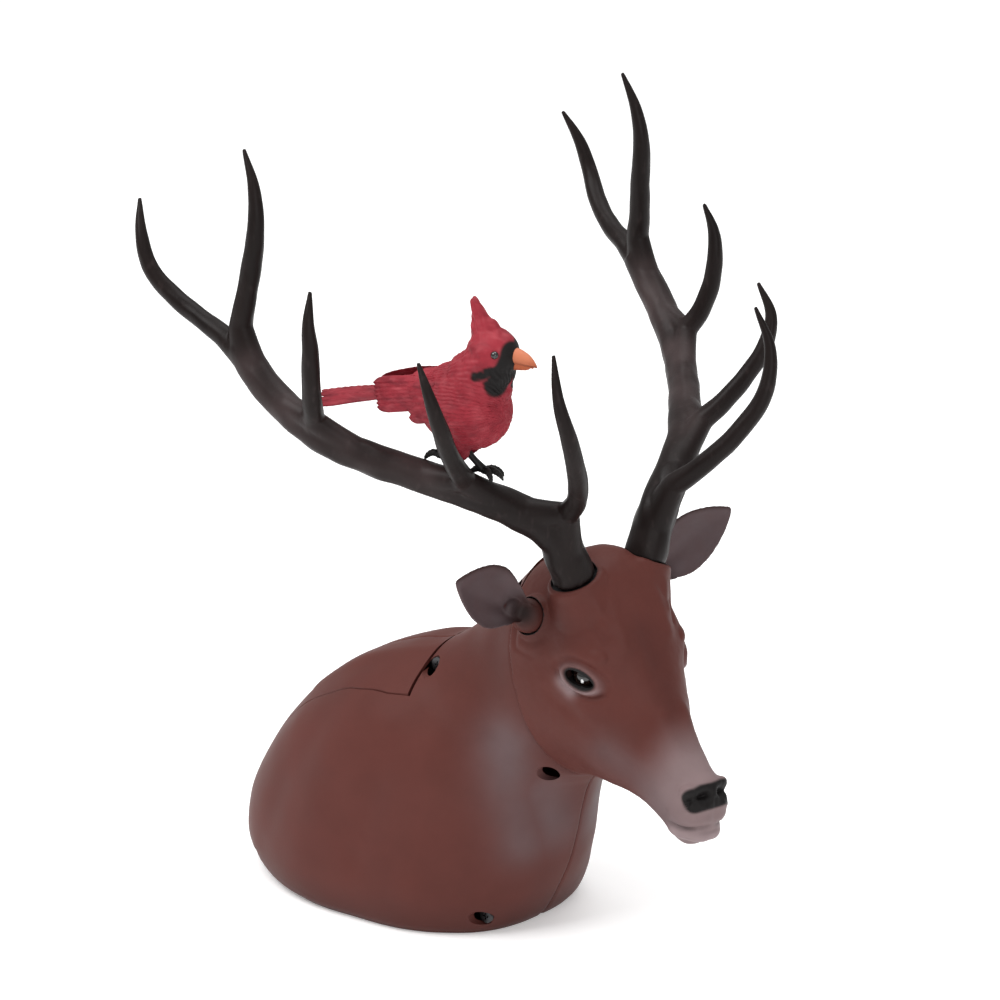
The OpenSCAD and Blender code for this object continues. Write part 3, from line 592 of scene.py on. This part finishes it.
def head_rings(steps, sides, inset=0.0):
    rows = np.array(HEAD_STATIONS, float)
    if inset:
        rows = rows[:-2]
        chord = rows[:, 0:2] - rows[:, 2:4]
        chord *= inset / np.linalg.norm(chord, axis=1)[:, None]
        rows[:, 0:2] -= chord
        rows[:, 2:4] += chord
        rows[:, 4] -= inset
        back = rows[0].copy()
        back[[0, 2]] -= 3
        back[[1, 3]] -= 1
        rows = np.vstack([back, rows])
    u = np.linspace(0, 2 * np.pi, sides + 1)[:-1]
    rings = []
    for ta, tb, ba, bb, w, n in spline(rows, steps):
        c, s = squared(np.cos(u), n), squared(np.sin(u), n)
        forward = (ta + ba) / 2 + (ta - ba) / 2 * c
        height = (tb + bb) / 2 + (tb - bb) / 2 * c
        rings.append(np.stack([forward, -w * s, height], 1))
    return rings


def folded(co):
    q = co.copy()
    q[:, 1] = np.abs(q[:, 1])
    return q


def eye_frame():
    """Directions at the eye: along the lids, across them, and outwards."""
    out = np.array([0.42, 0.90, 0.10])
    out /= np.linalg.norm(out)
    along = np.array([10, -4.5, -3.2])
    along -= (along @ out) * out
    along /= np.linalg.norm(along)
    return along, np.cross(out, along), out


def eye_opening():
    """Almond-shaped cutter for the eyelids."""
    along, across, out = eye_frame()
    u = np.linspace(0, 2 * np.pi, 65)[:-1]
    x = 6.2 * np.cos(u)
    y = 2.8 * np.sin(u) * (1 - 0.18 * np.cos(u)) * np.where(np.sin(u) > 0, 1.0, 0.85)
    ring = EYE + x[:, None] * along + y[:, None] * across
    rings = [ring + out * 0.0, ring + out * 14]
    if np.cross(ring[1] - ring[0], ring[2] - ring[1]) @ out < 0:
        rings = [r[::-1] for r in rings]
    return rings


def head_relief(co):
    q = folded(co)
    along, across, out = eye_frame()
    v = q - EYE
    x, y, depth = v @ along, v @ across, v @ out
    near = fade(depth, -1, 3)
    lid = np.sqrt((x / 6.9) ** 2 + (y / 4.0) ** 2)
    move = np.zeros(len(co))

    def stroke(height, width, *line):
        nonlocal move
        move = move + height * bell(distance_to(q, line), width)
    # brow, temple and eye socket
    stroke(1.3, 7.0, (31, 24, 25), (41, 21, 25.5), (45, 19, 21))
    stroke(-1.6, 4.5, (47, 17, 12), (50, 15, 6))
    stroke(-1.3, 6.0, (27, 27, 26), (24, 29, 20))
    stroke(-1.0, 3.0, (30, 24, 20), (36, 23, 22))
    move += near * (1.15 * bell(lid - 1.12, 0.22) - 0.8 * bell(lid - 1.62, 0.24) * fade(-y, -8, 2)
                    - 1.1 * bell(lid - 1.55, 0.2) * fade(y, 0, 3))
    # tear duct, cheek crest and jaw
    stroke(-1.1, 1.3, TEAR_DUCT, (49.5, 13.8, 4.5), (52.5, 12.4, 0))
    stroke(1.0, 3.2, (42, 20, 3), (54, 14, -6), (64, 11.5, -14))
    stroke(1.9, 13.0, (33, 25, -8), (38, 23, -14))
    stroke(-1.2, 5.0, (50, 18, -14), (58, 14, -18))
    stroke(-0.9, 3.0, (28, 26, 6), (38, 24, 2), (46, 20, -4))
    # forehead
    stroke(-1.2, 5.0, (44, 0, 46), (52, 0, 31), (58, 0, 19))
    stroke(1.0, 3.5, (37, 9, 53), (44, 11, 41), (50, 11, 29))
    stroke(0.8, 2.2, (40, 17, 44), (45, 15, 36))
    stroke(-0.7, 1.6, (42, 20, 37), (46, 17, 31))
    # muzzle: bridge, nostrils, lips and chin
    stroke(0.8, 4.0, (66, 7, 3), (78, 7, -11))
    stroke(-0.9, 4.0, (68, 11.5, -8), (76, 11, -18))
    stroke(1.3, 2.4, (82.5, 9.4, -21), (85.5, 8.6, -19.6), (88.4, 5.4, -19))
    stroke(1.0, 2.0, (83.6, 10, -27), (87, 8.2, -28.6), (89.5, 4.6, -27.5))
    stroke(-3.2, 2.1, (89.6, 4.2, -22.4), (88.2, 6.9, -22.8), (86.3, 8.9, -24.2), (84.8, 10, -26))
    stroke(0.9, 2.6, (78, 10.8, -31), (86, 8, -32.5), (90, 3, -32.5))
    stroke(-1.2, 0.75, *MOUTH)
    stroke(1.2, 2.6, (76, 9.6, -38.6), (83, 7, -39.5), (87.5, 0, -39))
    stroke(-0.8, 1.5, (77, 8.5, -43), (84, 4, -43))
    stroke(-0.55, 0.6, (90.5, 0, -24), (90.8, 0, -31.5))
    # ear root folds
    stroke(1.6, 5.0, (12, 27, 22), (20, 27, 22))
    stroke(-0.8, 1.2, (7, 28, 28), (10, 29.5, 21), (18, 28.5, 19.5), (24, 26.5, 24))
    move += 0.22 * wobble(co, 15) + 0.1 * wobble(co, 4)
    return move


def head_paint(co):
    q = folded(co)
    colour = flat(co, HIDE)
    x = q[:, 0]
    # paler muzzle, chin and jaw line
    muzzle = fade(x - 0.35 * q[:, 2], 64, 84)
    colour = mix(colour, MUZZLE, np.clip(0.75 * muzzle, 0, 1))
    jaw = distance_to(q, [(50, 18, -12), (66, 12, -26), (76, 9, -38)])
    colour = mix(colour, HIDE_GREY, 0.5 * bell(jaw, 8))
    lip = distance_to(q, [(78, 9, -39), (86, 5, -40), (88, 0, -40)])
    colour = mix(colour, MUZZLE * 1.25, 0.85 * bell(lip, 3.6))
    # shade in the brow, temple and under the antlers
    colour = mix(colour, HIDE_DARK, 0.5 * bell(distance_to(q, [(20, 27, 30), (28, 25, 34)]), 9))
    colour = mix(colour, HIDE_DARK, 0.35 * bell(distance_to(q, [(50, 0, 30), (66, 0, 6)]), 8))
    # pale eyelids and tear line
    along, across, out = eye_frame()
    v = q - EYE
    lx, ly = v @ along, v @ across
    lid = np.sqrt((lx / 6.9) ** 2 + (ly / 4.0) ** 2)
    near = fade(v @ out, 0, 3)
    pale = near * bell(lid - 1.2, 0.22) * (0.25 + 0.4 * fade(ly, -1, 3))
    behind = [EYE + 4.4 * across - 6.5 * along + 4 * out, EYE + 6 * across - 2.5 * along + 5 * out]
    pale = np.maximum(pale, near * 0.95 * bell(distance_to(q, behind), 3.0))
    pale = np.maximum(pale, 0.8 * bell(distance_to(q, [TEAR_DUCT, (50.5, 13.4, 3)]), 1.8))
    colour = mix(colour, MUZZLE * 1.35, np.clip(pale, 0, 1) * 0.9)
    colour = mix(colour, BLACK, near * bell(np.maximum(lid - 0.9, 0), 0.14))
    # black nose and mouth line
    nose = distance_to(q, [(89.5, 0, -23), (88.6, 4.5, -23), (86.6, 7.6, -24)])
    colour = mix(colour, BLACK * 1.1, 1 - fade(nose, 4.4, 5.6))
    colour = mix(colour, BLACK * 3, 0.85 * bell(distance_to(q, MOUTH), 0.8))
    # painted shade: black inside the antler sockets and the ear recess
    sockets = ((ANTLER_BASE, SOCKET_DIR, SOCKET_R + 0.1), (EAR_ROOT, EAR_TIP - EAR_ROOT, 7.3))
    for place, way, radius in sockets:
        way = way / np.linalg.norm(way)
        d = q - place
        reach = np.linalg.norm(d - (d @ way)[:, None] * way, axis=1)
        colour = mix(colour, BLACK * 2, (reach < radius) * (np.abs(d @ way) < 9) * 1.0)
    return colour


def make_head(materials):
    pieces = [loft("skull", head_rings(10, 180))]
    for side in (1, -1):
        flip = np.array([1, side, 1])
        way = SOCKET_DIR * flip / np.linalg.norm(SOCKET_DIR)
        base = ANTLER_BASE * flip
        turn = frame_of(way)
        u = np.linspace(0, 2 * np.pi, 49)[:-1]
        rings = [(np.stack([np.cos(u) * r, np.sin(u) * r, np.full(48, h)], 1)) @ turn.T + base
                 for h, r in ((-16, 15), (-9, 13.2), (-4, 11.6), (-1.2, 11.2), (0.2, 10.6))]
        pieces.append(loft("pedicle", rings))
        lumps = (((41, 19.2, 24.4), 4.0, (1.9, 1, 1)), ((15, 24.5, 33), 8.6, (1, 0.9, 1.1)),
                 ((84.5, 6, -24), 4.6, (1.1, 1, 1.1)), ((82, 1.5, -39.6), 5.2, (1.15, 1.1, 0.62)))
        for place, radius, stretch in lumps:
            pieces.append(ball("lump", np.array(place) * flip, radius, stretch))
    head = fuse(pieces, "head_shell_skin", 0.55, 9)
    rear = fade(normals_of(head) @ np.array([-0.96, 0, -0.28]), 0.3, 0.8)
    push(head, head_relief(points_of(head)) * (1 - rear) - 0.25 * rear)
    relax(head, 1)
    boolean(head, loft("inner", head_rings(4, 100, WALL + 2.4)), "DIFFERENCE")
    for side in (1, -1):
        flip = np.array([1, side, 1])
        way, ear_way = SOCKET_DIR * flip, (EAR_TIP - EAR_ROOT) * flip
        boolean(head, rod("cut", ANTLER_BASE * flip, way, -3, 30, SOCKET_R, 64), "DIFFERENCE")
        boolean(head, rod("cut", ANTLER_BASE * flip, way, -40, 10, 6.3, 48), "DIFFERENCE")
        boolean(head, rod("cut", EAR_ROOT * flip, ear_way, -4, 30, 7.2, 64), "DIFFERENCE")
        boolean(head, rod("cut", EAR_ROOT * flip, ear_way, -24, 6, 4, 32), "DIFFERENCE")
        rings = [r * flip for r in eye_opening()]
        boolean(head, loft("lids", rings if side > 0 else [r[::-1] for r in rings]), "DIFFERENCE")
        boolean(head, ball("socket", EYE * flip, EYE_R + 0.2), "DIFFERENCE")
        make_eye(side, materials)
    paint = head_paint(points_of(head))
    transform(head, HEAD_TURN, HEAD_ORIGIN)
    finished(head, "head", materials["hide"], ["head_shell"], paint)


def make_eye(side, materials):
    """Glossy eyeball with a dark brown iris, black pupil and a painted catchlight."""
    name = "left" if side > 0 else "right"
    flip = np.array([1, side, 1])
    along, across, out = eye_frame()
    eye = ball(name + "_eyeball", EYE * flip, EYE_R)
    v = (points_of(eye) * flip - EYE) / EYE_R
    colour = flat(v, BLACK * 0.6)
    colour = mix(colour, np.array([0.02, 0.009, 0.006]), bell(np.linalg.norm(v - out, axis=1) - 0.55, 0.12))
    transform(eye, HEAD_TURN, HEAD_ORIGIN)
    finished(eye, "head", materials["eye"], [name + "_eye"], colour)
    spot = EYE + (out * 0.965 + along * 0.12 + across * 0.2) * EYE_R
    glint = ball(name + "_catchlight", spot * flip, 0.85, (1, 0.55, 1))
    transform(glint, HEAD_TURN, HEAD_ORIGIN)
    finished(glint, "head", materials["eye"], (), flat(points_of(glint), (0.9, 0.9, 0.9)))


# ---------------------------------------------------------------- antlers
BEAM = [
    [28.6, 17.5, 51.4, 8.2], [28.2, 21.5, 61, 8], [27.2, 26.5, 71, 7.6], [21.5, 38.5, 80, 7.1],
    [11.5, 52.5, 88, 6.8], [-4, 67, 94.5, 6.4], [-20, 80, 100.5, 6.3], [-35, 90, 107.5, 6.2],
    [-50, 96, 118, 6.1], [-61, 98.5, 127, 6], [-69.8, 99.3, 136, 5.6]]
TINES = {
    "top": [[-66, 99.5, 131, 5.2], [-69, 99.5, 143, 4.6], [-67, 98.5, 155, 4.1], [-65, 97, 169, 3.9],
            [-63.5, 96, 184, 3.3], [-66, 95, 198, 2.3], [-73, 94, 211, 0.8]],
    "rear": [[-64, 98.5, 130, 5], [-77, 101, 138, 4.3], [-89, 103, 143, 3.8], [-102, 107, 150.5, 3.6],
             [-111, 110.5, 160, 3.2], [-117, 110, 172, 2.4], [-123, 106, 184, 0.8]],
    "third": [[-38, 90, 106, 5], [-33, 93.5, 114, 4.3], [-29, 97, 122, 3.8], [-26, 100, 133, 3.6],
              [-25, 101, 144, 3.2], [-26, 101, 155, 2.3], [-28.5, 98, 166, 0.8]],
    "second": [[12, 52, 88, 5.2], [14.5, 59, 94.5, 4.5], [18.5, 66, 101.5, 3.9], [22.5, 74, 111, 3.6],
               [26, 81, 123, 3.2], [25, 85, 135, 2.3], [18, 84.5, 146.5, 0.8]],
    "brow": [[28, 24.5, 69, 5.4], [35, 26.5, 80, 4.6], [45, 30.5, 89, 4], [55, 39, 102, 3.8],
             [61.5, 48, 118, 3.3], [60, 52.5, 135, 2.3], [54, 50, 151, 0.8]]}
WEBS = [(1, "brow"), (3, "brow"), (3, "second"), (5, "second"),
        (6, "third"), (8, "third"), (9, "top"), (9, "rear")]


def antler_grooves(u, s):
    """Shallow furrows that run along the antler and wander a little."""
    base = np.sin(5 * u + 0.35 * np.sin(s / 9)) * 0.5 + np.sin(11 * u + 1.7 + 0.5 * np.sin(s / 6)) * 0.35
    lumps = np.array([noise.noise(Vector((math.cos(a) * 1.4, math.sin(a) * 1.4, s / 8))) for a in u])
    return 0.020 * base + 0.07 * lumps


def antler_paint(co):
    """Near-black brown, paler and greyer along the middle of the beam and at the forks."""
    colour = flat(co, ANTLER)
    pale = bell(distance_to(co, [p[:3] for p in BEAM[4:10]]) - 5.5, 6) * (0.45 + 0.5 * wobble(co, 16))
    pale *= fade(co[:, 2], 84, 100) * (1 - fade(co[:, 2], 150, 185))
    colour = mix(colour, ANTLER_PALE, np.clip(pale, 0, 0.75) * 0.6)
    speck = np.clip(wobble(co * (1, 1, 0.35), 2.2) - 0.35, 0, 1)
    return mix(colour, ANTLER_PALE, 0.25 * speck)


def make_antlers(materials):
    pieces = [tube("beam", BEAM, 14, 40, antler_grooves)]
    for tine in TINES.values():
        pieces.append(tube("tine", tine, 12, 32, antler_grooves))
    for index, name in WEBS:
        start, end = np.array(BEAM[index]), np.array(TINES[name][1])
        pieces.append(tube("web", [start * (1, 1, 1, 0.9), (start + end) / 2 * (1, 1, 1, 0.9), end], 6, 24))
    left = fuse(pieces, "left_antler_skin", 0.5, 3)
    co = points_of(left)
    forks = np.min([np.linalg.norm(co - (np.array(BEAM[i][:3]) + np.array(TINES[n][1][:3])) / 2, axis=1)
                    for i, n in WEBS], axis=0)
    relax(left, 14, bell(forks, 8))
    boolean(left, rod("cut", ANTLER_BASE, SOCKET_DIR, -20, 0, 20), "DIFFERENCE")
    boolean(left, rod("bore", ANTLER_BASE, SOCKET_DIR, -1, 9, 4.2), "DIFFERENCE")
    right = mirrored(left, "right_antler_skin")
    for obj, side in ((left, "left"), (right, "right")):
        paint = antler_paint(folded(points_of(obj)))
        transform(obj, HEAD_TURN, HEAD_ORIGIN)
        finished(obj, side + "_antler_body", materials["antler"], [side + "_antler"], paint)


# ---------------------------------------------------------------- ears
EAR_HALF = [[0, 5.2], [0.12, 7], [0.3, 10.6], [0.48, 12.4], [0.66, 11.4], [0.82, 7.8], [0.93, 4], [1, 0.9]]


def make_ears(materials):
    axis = EAR_TIP - EAR_ROOT
    length = np.linalg.norm(axis)
    axis = axis / length
    up = np.array([0, 0, 1]) - axis[2] * axis
    up /= np.linalg.norm(up)
    front = np.cross(axis, up)
    rings = []
    for s, h in spline(EAR_HALF, 14):
        if s < 0.04:
            continue
        k = np.linspace(-1, 1, 41)
        roll = 1 - 0.55 * fade(0.5 - s, 0, 0.45)
        cup = h * (0.46 * k ** 2 / roll - 0.30)
        folds = 0.35 * np.sin(k * 9) * bell(np.array([s - 0.3]), 0.3)[0] * min(1, h / 6)
        droop = 1.6 * math.sin(s * math.pi) * np.ones(41)
        back = EAR_ROOT + s * length * axis
        back = back + (h * roll * k + 0.08 * h)[:, None] * up + (cup - droop)[:, None] * front
        thick = 1.9 * (1.1 - 0.75 * np.abs(k) ** 3) * min(1, h / 4)
        inner = back + (thick + folds)[:, None] * front - (0.3 * k * min(1, h / 4))[:, None] * up
        rings.append(np.vstack([back, inner[::-1]]))
    ear = loft("leaf", rings)
    bulb = ball("bulb", EAR_ROOT + axis * 2.6, 6.75, (1, 1, 1.0), frame_of(axis))
    collar = ball("collar", EAR_ROOT + axis * 8 - front * 1.2, 4.8, (0.9, 1, 1.6), frame_of(axis))
    ear = fuse([ear, bulb, collar], "left_ear_skin", 0.42, 8)
    boolean(ear, rod("cut", EAR_ROOT, axis, -20, -2.4, 20), "DIFFERENCE")
    # ear canal
    pit = EAR_ROOT + axis * 10 + front * 3.4
    co = points_of(ear)
    d = np.linalg.norm(co - pit, axis=1)
    facing = fade(normals_of(ear) @ front, -0.2, 0.4)
    move_points(ear, co - (front * 2.6)[None] * (bell(d, 4.6) * facing)[:, None])
    relax(ear, 2)
    right = mirrored(ear, "right_ear_skin")
    for obj, side, flip in ((ear, "left", 1), (right, "right", -1)):
        q = points_of(obj) * (1, flip, 1)
        n = normals_of(obj) * (1, flip, 1)
        inside = fade(n @ front, -0.05, 0.35)
        s = (q - EAR_ROOT) @ axis / length
        colour = flat(q, HIDE * 0.85)
        colour = mix(colour, EAR_INSIDE, inside * fade(s, 0.12, 0.3) * (0.85 + 0.1 * wobble(q, 6)))
        # painted shade: black deep in the hollow of the ear canal
        colour = mix(colour, BLACK * 2, inside * bell(np.linalg.norm(q - pit, axis=1), 6.5))
        rim = distance_to(np.column_stack([s * length, (q - EAR_ROOT) @ up]),
                          np.array([[a * length, h + 0.08 * h] for a, h in EAR_HALF]))
        colour = mix(colour, HIDE_DARK * 0.6, 0.8 * bell(rim, 1.5))
        transform(obj, HEAD_TURN, HEAD_ORIGIN)
        finished(obj, side + "_ear_body", materials["hide"], [side + "_ear"], colour)


# ---------------------------------------------------------------- cardinal
BIRD_AT = np.array([9.5, -56, 98.4])
BIRD_TURN = math.radians(24)


def on_perch(obj):
    c, s = math.cos(BIRD_TURN), math.sin(BIRD_TURN)
    transform(obj, [[c, -s, 0], [s, c, 0], [0, 0, 1]], BIRD_AT)
    return transform(obj, HEAD_TURN, HEAD_ORIGIN)


def blade(name, root, tip, width, normal, curve=1.0, thick=0.7):
    """Feather: a long rounded vane with a raised shaft and slanting barbs."""
    root, tip, normal = (np.array(v, float) for v in (root, tip, normal))
    way = tip - root
    length = np.linalg.norm(way)
    way /= length
    normal -= (normal @ way) * way
    normal /= np.linalg.norm(normal)
    side = np.cross(normal, way)
    rings = []
    for s in np.linspace(0, 1, 26):
        opening = 0.45 + 0.55 * math.sin(min(s * 2.2, 1) * math.pi / 2)
        rounding = math.sqrt(max(1 - max(s - 0.72, 0) ** 2 / 0.0785, 0.002))
        w = width * opening * rounding
        k = np.linspace(-1, 1, 15)
        lift = curve * math.sin(s * math.pi) - 0.25 * w * k ** 2
        barb = 0.10 * np.sin(s * length * 2.2 + np.abs(k) * 3.2)
        shaft = 0.28 * bell(k, 0.16)
        middle = root + way * s * length + (side * w)[None] * k[:, None] + normal[None] * lift[:, None]
        upper = middle + normal[None] * (thick / 2 * (1 - 0.7 * k ** 4) + barb + shaft)[:, None]
        lower = middle - normal[None] * (thick / 2 * (1 - 0.7 * k ** 4))[:, None]
        rings.append(np.vstack([lower, upper[::-1]]))
    if np.cross(rings[0][5] - rings[0][0], rings[0][20] - rings[0][5]) @ way < 0:
        rings = [r[::-1] for r in rings]
    return loft(name, rings)


def feather_scales(co):
    """Overlapping rows of small feathers that lie back along the body."""
    flow = -0.86 * co[:, 0] - 0.34 * co[:, 2]
    around = np.arctan2(co[:, 1], co[:, 2] - 26) * 15
    row = flow / 3.4
    stagger = np.floor(row) % 2 * 0.5
    u = row - np.floor(row)
    v = around / 3.6 + stagger
    v = v - np.floor(v) - 0.5
    edge = u - (0.62 - 1.5 * v ** 2)
    scale = 0.34 * (1 - fade(edge, -0.12, 0.12)) * (0.5 + 0.5 * u)
    streak = 0.16 * np.sin(around * 4.2 + 2.2 * wobble(co, 5))
    return scale + streak


def bird_paint(co):
    colour = mix(flat(co, CRIMSON), CRIMSON_PALE, 0.35 * np.clip(wobble(co * (0.4, 1, 1), 2.6), 0, 1))
    colour = mix(colour, CRIMSON_DARK, 0.45 * np.clip(-wobble(co * (0.4, 1, 1), 3.2), 0, 1))
    # painted shade: darker crimson under the belly
    colour = mix(colour, CRIMSON_DARK, 0.35 * fade(16 - co[:, 2], 0, 12))
    q = folded(co)
    mask = distance_to(q, [(21, 2.5, 47), (19.5, 4.5, 40), (15, 5, 36)])
    colour = mix(colour, BLACK * 1.5, 1 - fade(mask, 4.6, 6.0))
    spike = distance_to(q, [(20, 4, 43), (14, 8, 41), (10, 9, 39)])
    return mix(colour, BLACK * 1.5, 1 - fade(spike, 2.0, 3.0))


def make_bird(materials):
    def lump(place, radius, stretch=(1, 1, 1), tilt=0.0):
        turn = np.array(Matrix.Rotation(math.radians(tilt), 3, "Y"))
        return ball("lump", place, radius, stretch, turn)
    pieces = [
        lump((1, 0, 24.5), 15.3, (1.2, 1, 1.05), 22), lump((-9, 0, 27), 11.5, (1.25, 1, 0.85), 10),
        lump((-20, 0, 27), 7.4, (1.3, 1, 0.75), 8), lump((-29, 0, 25.4), 4.8, (1.5, 1.1, 0.62), 8),
        lump((6, 0, 33), 13, (1, 0.98, 1.05)), lump((10, 0, 40), 10.6),
        lump((12.6, 0, 46), 9.9, (1.02, 0.95, 1)),
        lump((17.5, 0, 44.5), 5.6, (1, 1, 0.9)), lump((9.4, 0, 54), 5.8, (1, 0.72, 1.1), -20),
        lump((7, 0, 59.5), 3.5, (1, 0.6, 1.5), -24), lump((5.2, 0, 64), 1.9, (1, 0.6, 1.9), -22)]
    for side in (1, -1):
        pieces.append(lump((1, side * 6, 13.5), 6, (1, 0.9, 1.1)))
        pieces.append(lump((1.5 if side > 0 else 2, side * 5.6, 8.2), 3, (1, 1, 1.3)))
    body = fuse(pieces, "bird_body_skin", 0.45, 12)
    co = points_of(body)
    push(body, feather_scales(co) * (1 - fade(co[:, 0] + co[:, 2], 58, 66)))
    crest = fade(points_of(body)[:, 2], 50, 56)
    co = points_of(body)
    push(body, 0.35 * crest * np.sin(co[:, 0] * 1.9 + co[:, 2] * 1.1) * bell(co[:, 1], 5))
    paint = bird_paint(points_of(body))
    on_perch(body)
    finished(body, "bird", materials["feathers"], ["bird_body"], paint)
    make_bird_feathers(materials)
    make_bird_details(materials)


def make_bird_feathers(materials):
    """Wings of layered coverts and flight feathers, and a tail of long blades."""
    wings, tail = [], []
    for side in (1, -1):
        for i in range(7):
            root = (-8 - i * 0.8, side * (12.6 - i * 0.55), 27 + i * 1.25)
            tip = (-27 - 2.3 * (6 - i) * 0.35 - i * 1.5, side * (8 - 0.85 * i), 21.4 + i * 1.3)
            wings.append(blade("flight", root, tip, 2.3, (0, side, 0.35), 1.0))
        for i in range(5):
            root = (0 - i * 1.6, side * (14.8 - 0.95 * i), 24.5 + i * 2.4)
            tip = (-16 - i * 1.2, side * (12.8 - 1.15 * i), 20.8 + i * 2.5)
            wings.append(blade("secondary", root, tip, 2.6, (0.1, side, 0.3), 0.9))
        for i in range(5):
            root = (6 - i * 0.5, side * (13.4 - 0.7 * i), 25 + i * 2.4)
            tip = (-7 - i * 0.6, side * (15.4 - 1.15 * i), 22.6 + i * 2.5)
            wings.append(blade("covert", root, tip, 2.5, (0.15, side, 0.25), 0.8))
    for i, across in enumerate((-1, 1, -0.6, 0.6, -0.2, 0.2)):
        root = (-24, across * 3.2, 26.6 + 0.3 * i)
        tip = (-60.5 + abs(across) * 2.5, across * 6.0, 18.6 + 0.55 * i)
        tail.append(blade("tail", root, tip, 2.7, (0.1, across * 0.25, 1), 0.8, 0.8))
    sets = ((wings, "bird_wing_feathers", ["bird_wings"]), (tail, "bird_tail_feathers", []))
    for pieces, name, nodes in sets:
        obj = joined(pieces, name)
        co = points_of(obj)
        stretched = co * (0.25, 1, 1)
        colour = mix(flat(co, CRIMSON * 0.9), CRIMSON_DARK, 0.6 * np.clip(0.3 + wobble(stretched, 2.2), 0, 1))
        colour = mix(colour, CRIMSON_PALE, 0.4 * np.clip(wobble(stretched, 1.4), 0, 1))
        on_perch(obj)
        finished(obj, "bird", materials["feathers"], nodes, colour, 60)


def make_bird_details(materials):
    mandibles = []
    upper_radii, lower_radii = (3.3, 3.1, 2.3, 1.0, 0.25), (2.5, 2.3, 1.7, 0.8, 0.25)
    for low, reach, radii in ((1, (29.2, 30.4), upper_radii), (-1, (28, 29), lower_radii)):
        x = (19.6, 23, 26.5, *reach)
        z = [base + low * lift for base, lift in ((44.9, 1.5), (44.5, 1.3), (43.9, 0.9), (43.2, 0.35), (42.5, 0.2))]
        rows = [[a, 0, b, r] for a, b, r in zip(x, z, radii)]
        mandibles.append(tube("mandible", rows, 10, 28))
    beak = joined(mandibles, "bird_beak_skin")
    co = points_of(beak)
    colour = mix(flat(co, (0.36, 0.085, 0.035)), np.array([0.52, 0.17, 0.09]), fade(co[:, 2], 42, 47))
    # painted shade: a dark line in the parting between the upper and lower mandible
    parting = co[:, 2] - (44.6 - (co[:, 0] - 20) * 0.16)
    colour = mix(colour, np.array([0.12, 0.03, 0.02]), 0.8 * bell(parting, 0.3))
    on_perch(beak)
    finished(beak, "bird", materials["beak"], ["bird_beak"], colour)
    eyes = joined([ball("eye", (17.0, side * 8.2, 48), 1.5) for side in (1, -1)], "bird_eye_beads")
    paint = flat(points_of(eyes), BLACK * 0.7)
    on_perch(eyes)
    finished(eyes, "bird", materials["eye"], ["bird_eyes"], paint)
    toes = []
    for x in (-9, 8):
        side = -1 if x > 0 else 1
        foot = np.array([x, x / 5, -0.28 * x])
        hip = np.array([1 + x * 0.18, side * 3.2, 8.5])
        knee = (hip + foot) / 2 + (0, side * 0.4, 1)
        ankle = foot + (0, 0, 1.8)
        toes.append(tube("leg", [[*hip, 1.5], [*knee, 1.25], [*ankle, 1.6]], 6, 18))
        for dx, dy in ((7, 0), (5, 4.6), (5, -4.6), (-5.6, 0)):
            d = np.array([dx, dy, 0])
            path = [foot + (0, 0, 1.7), foot + d * 0.4 + (0, 0, 2.3), foot + d * 0.75 + (0, 0, 1.5),
                    foot + d + (0, 0, 0.1), foot + d * 1.12 + (0, 0, -1.3)]
            toes.append(tube("toe", [[*p, r] for p, r in zip(path, (1.4, 1.35, 1.15, 0.8, 0.25))], 8, 18,
                             lambda u, s: np.full(len(u), 0.07 * math.sin(s * 5))))
    feet = joined(toes, "bird_claws")
    on_perch(feet)
    finished(feet, "bird", materials["claws"], ["bird_feet"])


def dress_frame(materials):
    """Materials of the CAD nodes that stay in view."""
    by_slot = {"black_plastic": "black", "steel": "steel", "ballast": "iron", "body_skin": "hide",
               "head_skin": "hide", "ear_skin": "hide", "antler": "antler", "feathers": "feathers",
               "eye_gloss": "eye", "beak": "beak"}
    slots = {s["node"]: s["material_slot"] for s in frame["record"]["subparts"]}
    for name, obj in frame["nodes"].items():
        obj.data.materials.clear()
        obj.data.materials.append(materials[by_slot[slots[name]]])


make_camera()
make_stage()
materials = make_materials()
dress_frame(materials)
make_body(materials)
make_head(materials)
make_antlers(materials)
make_ears(materials)
make_bird(materials)
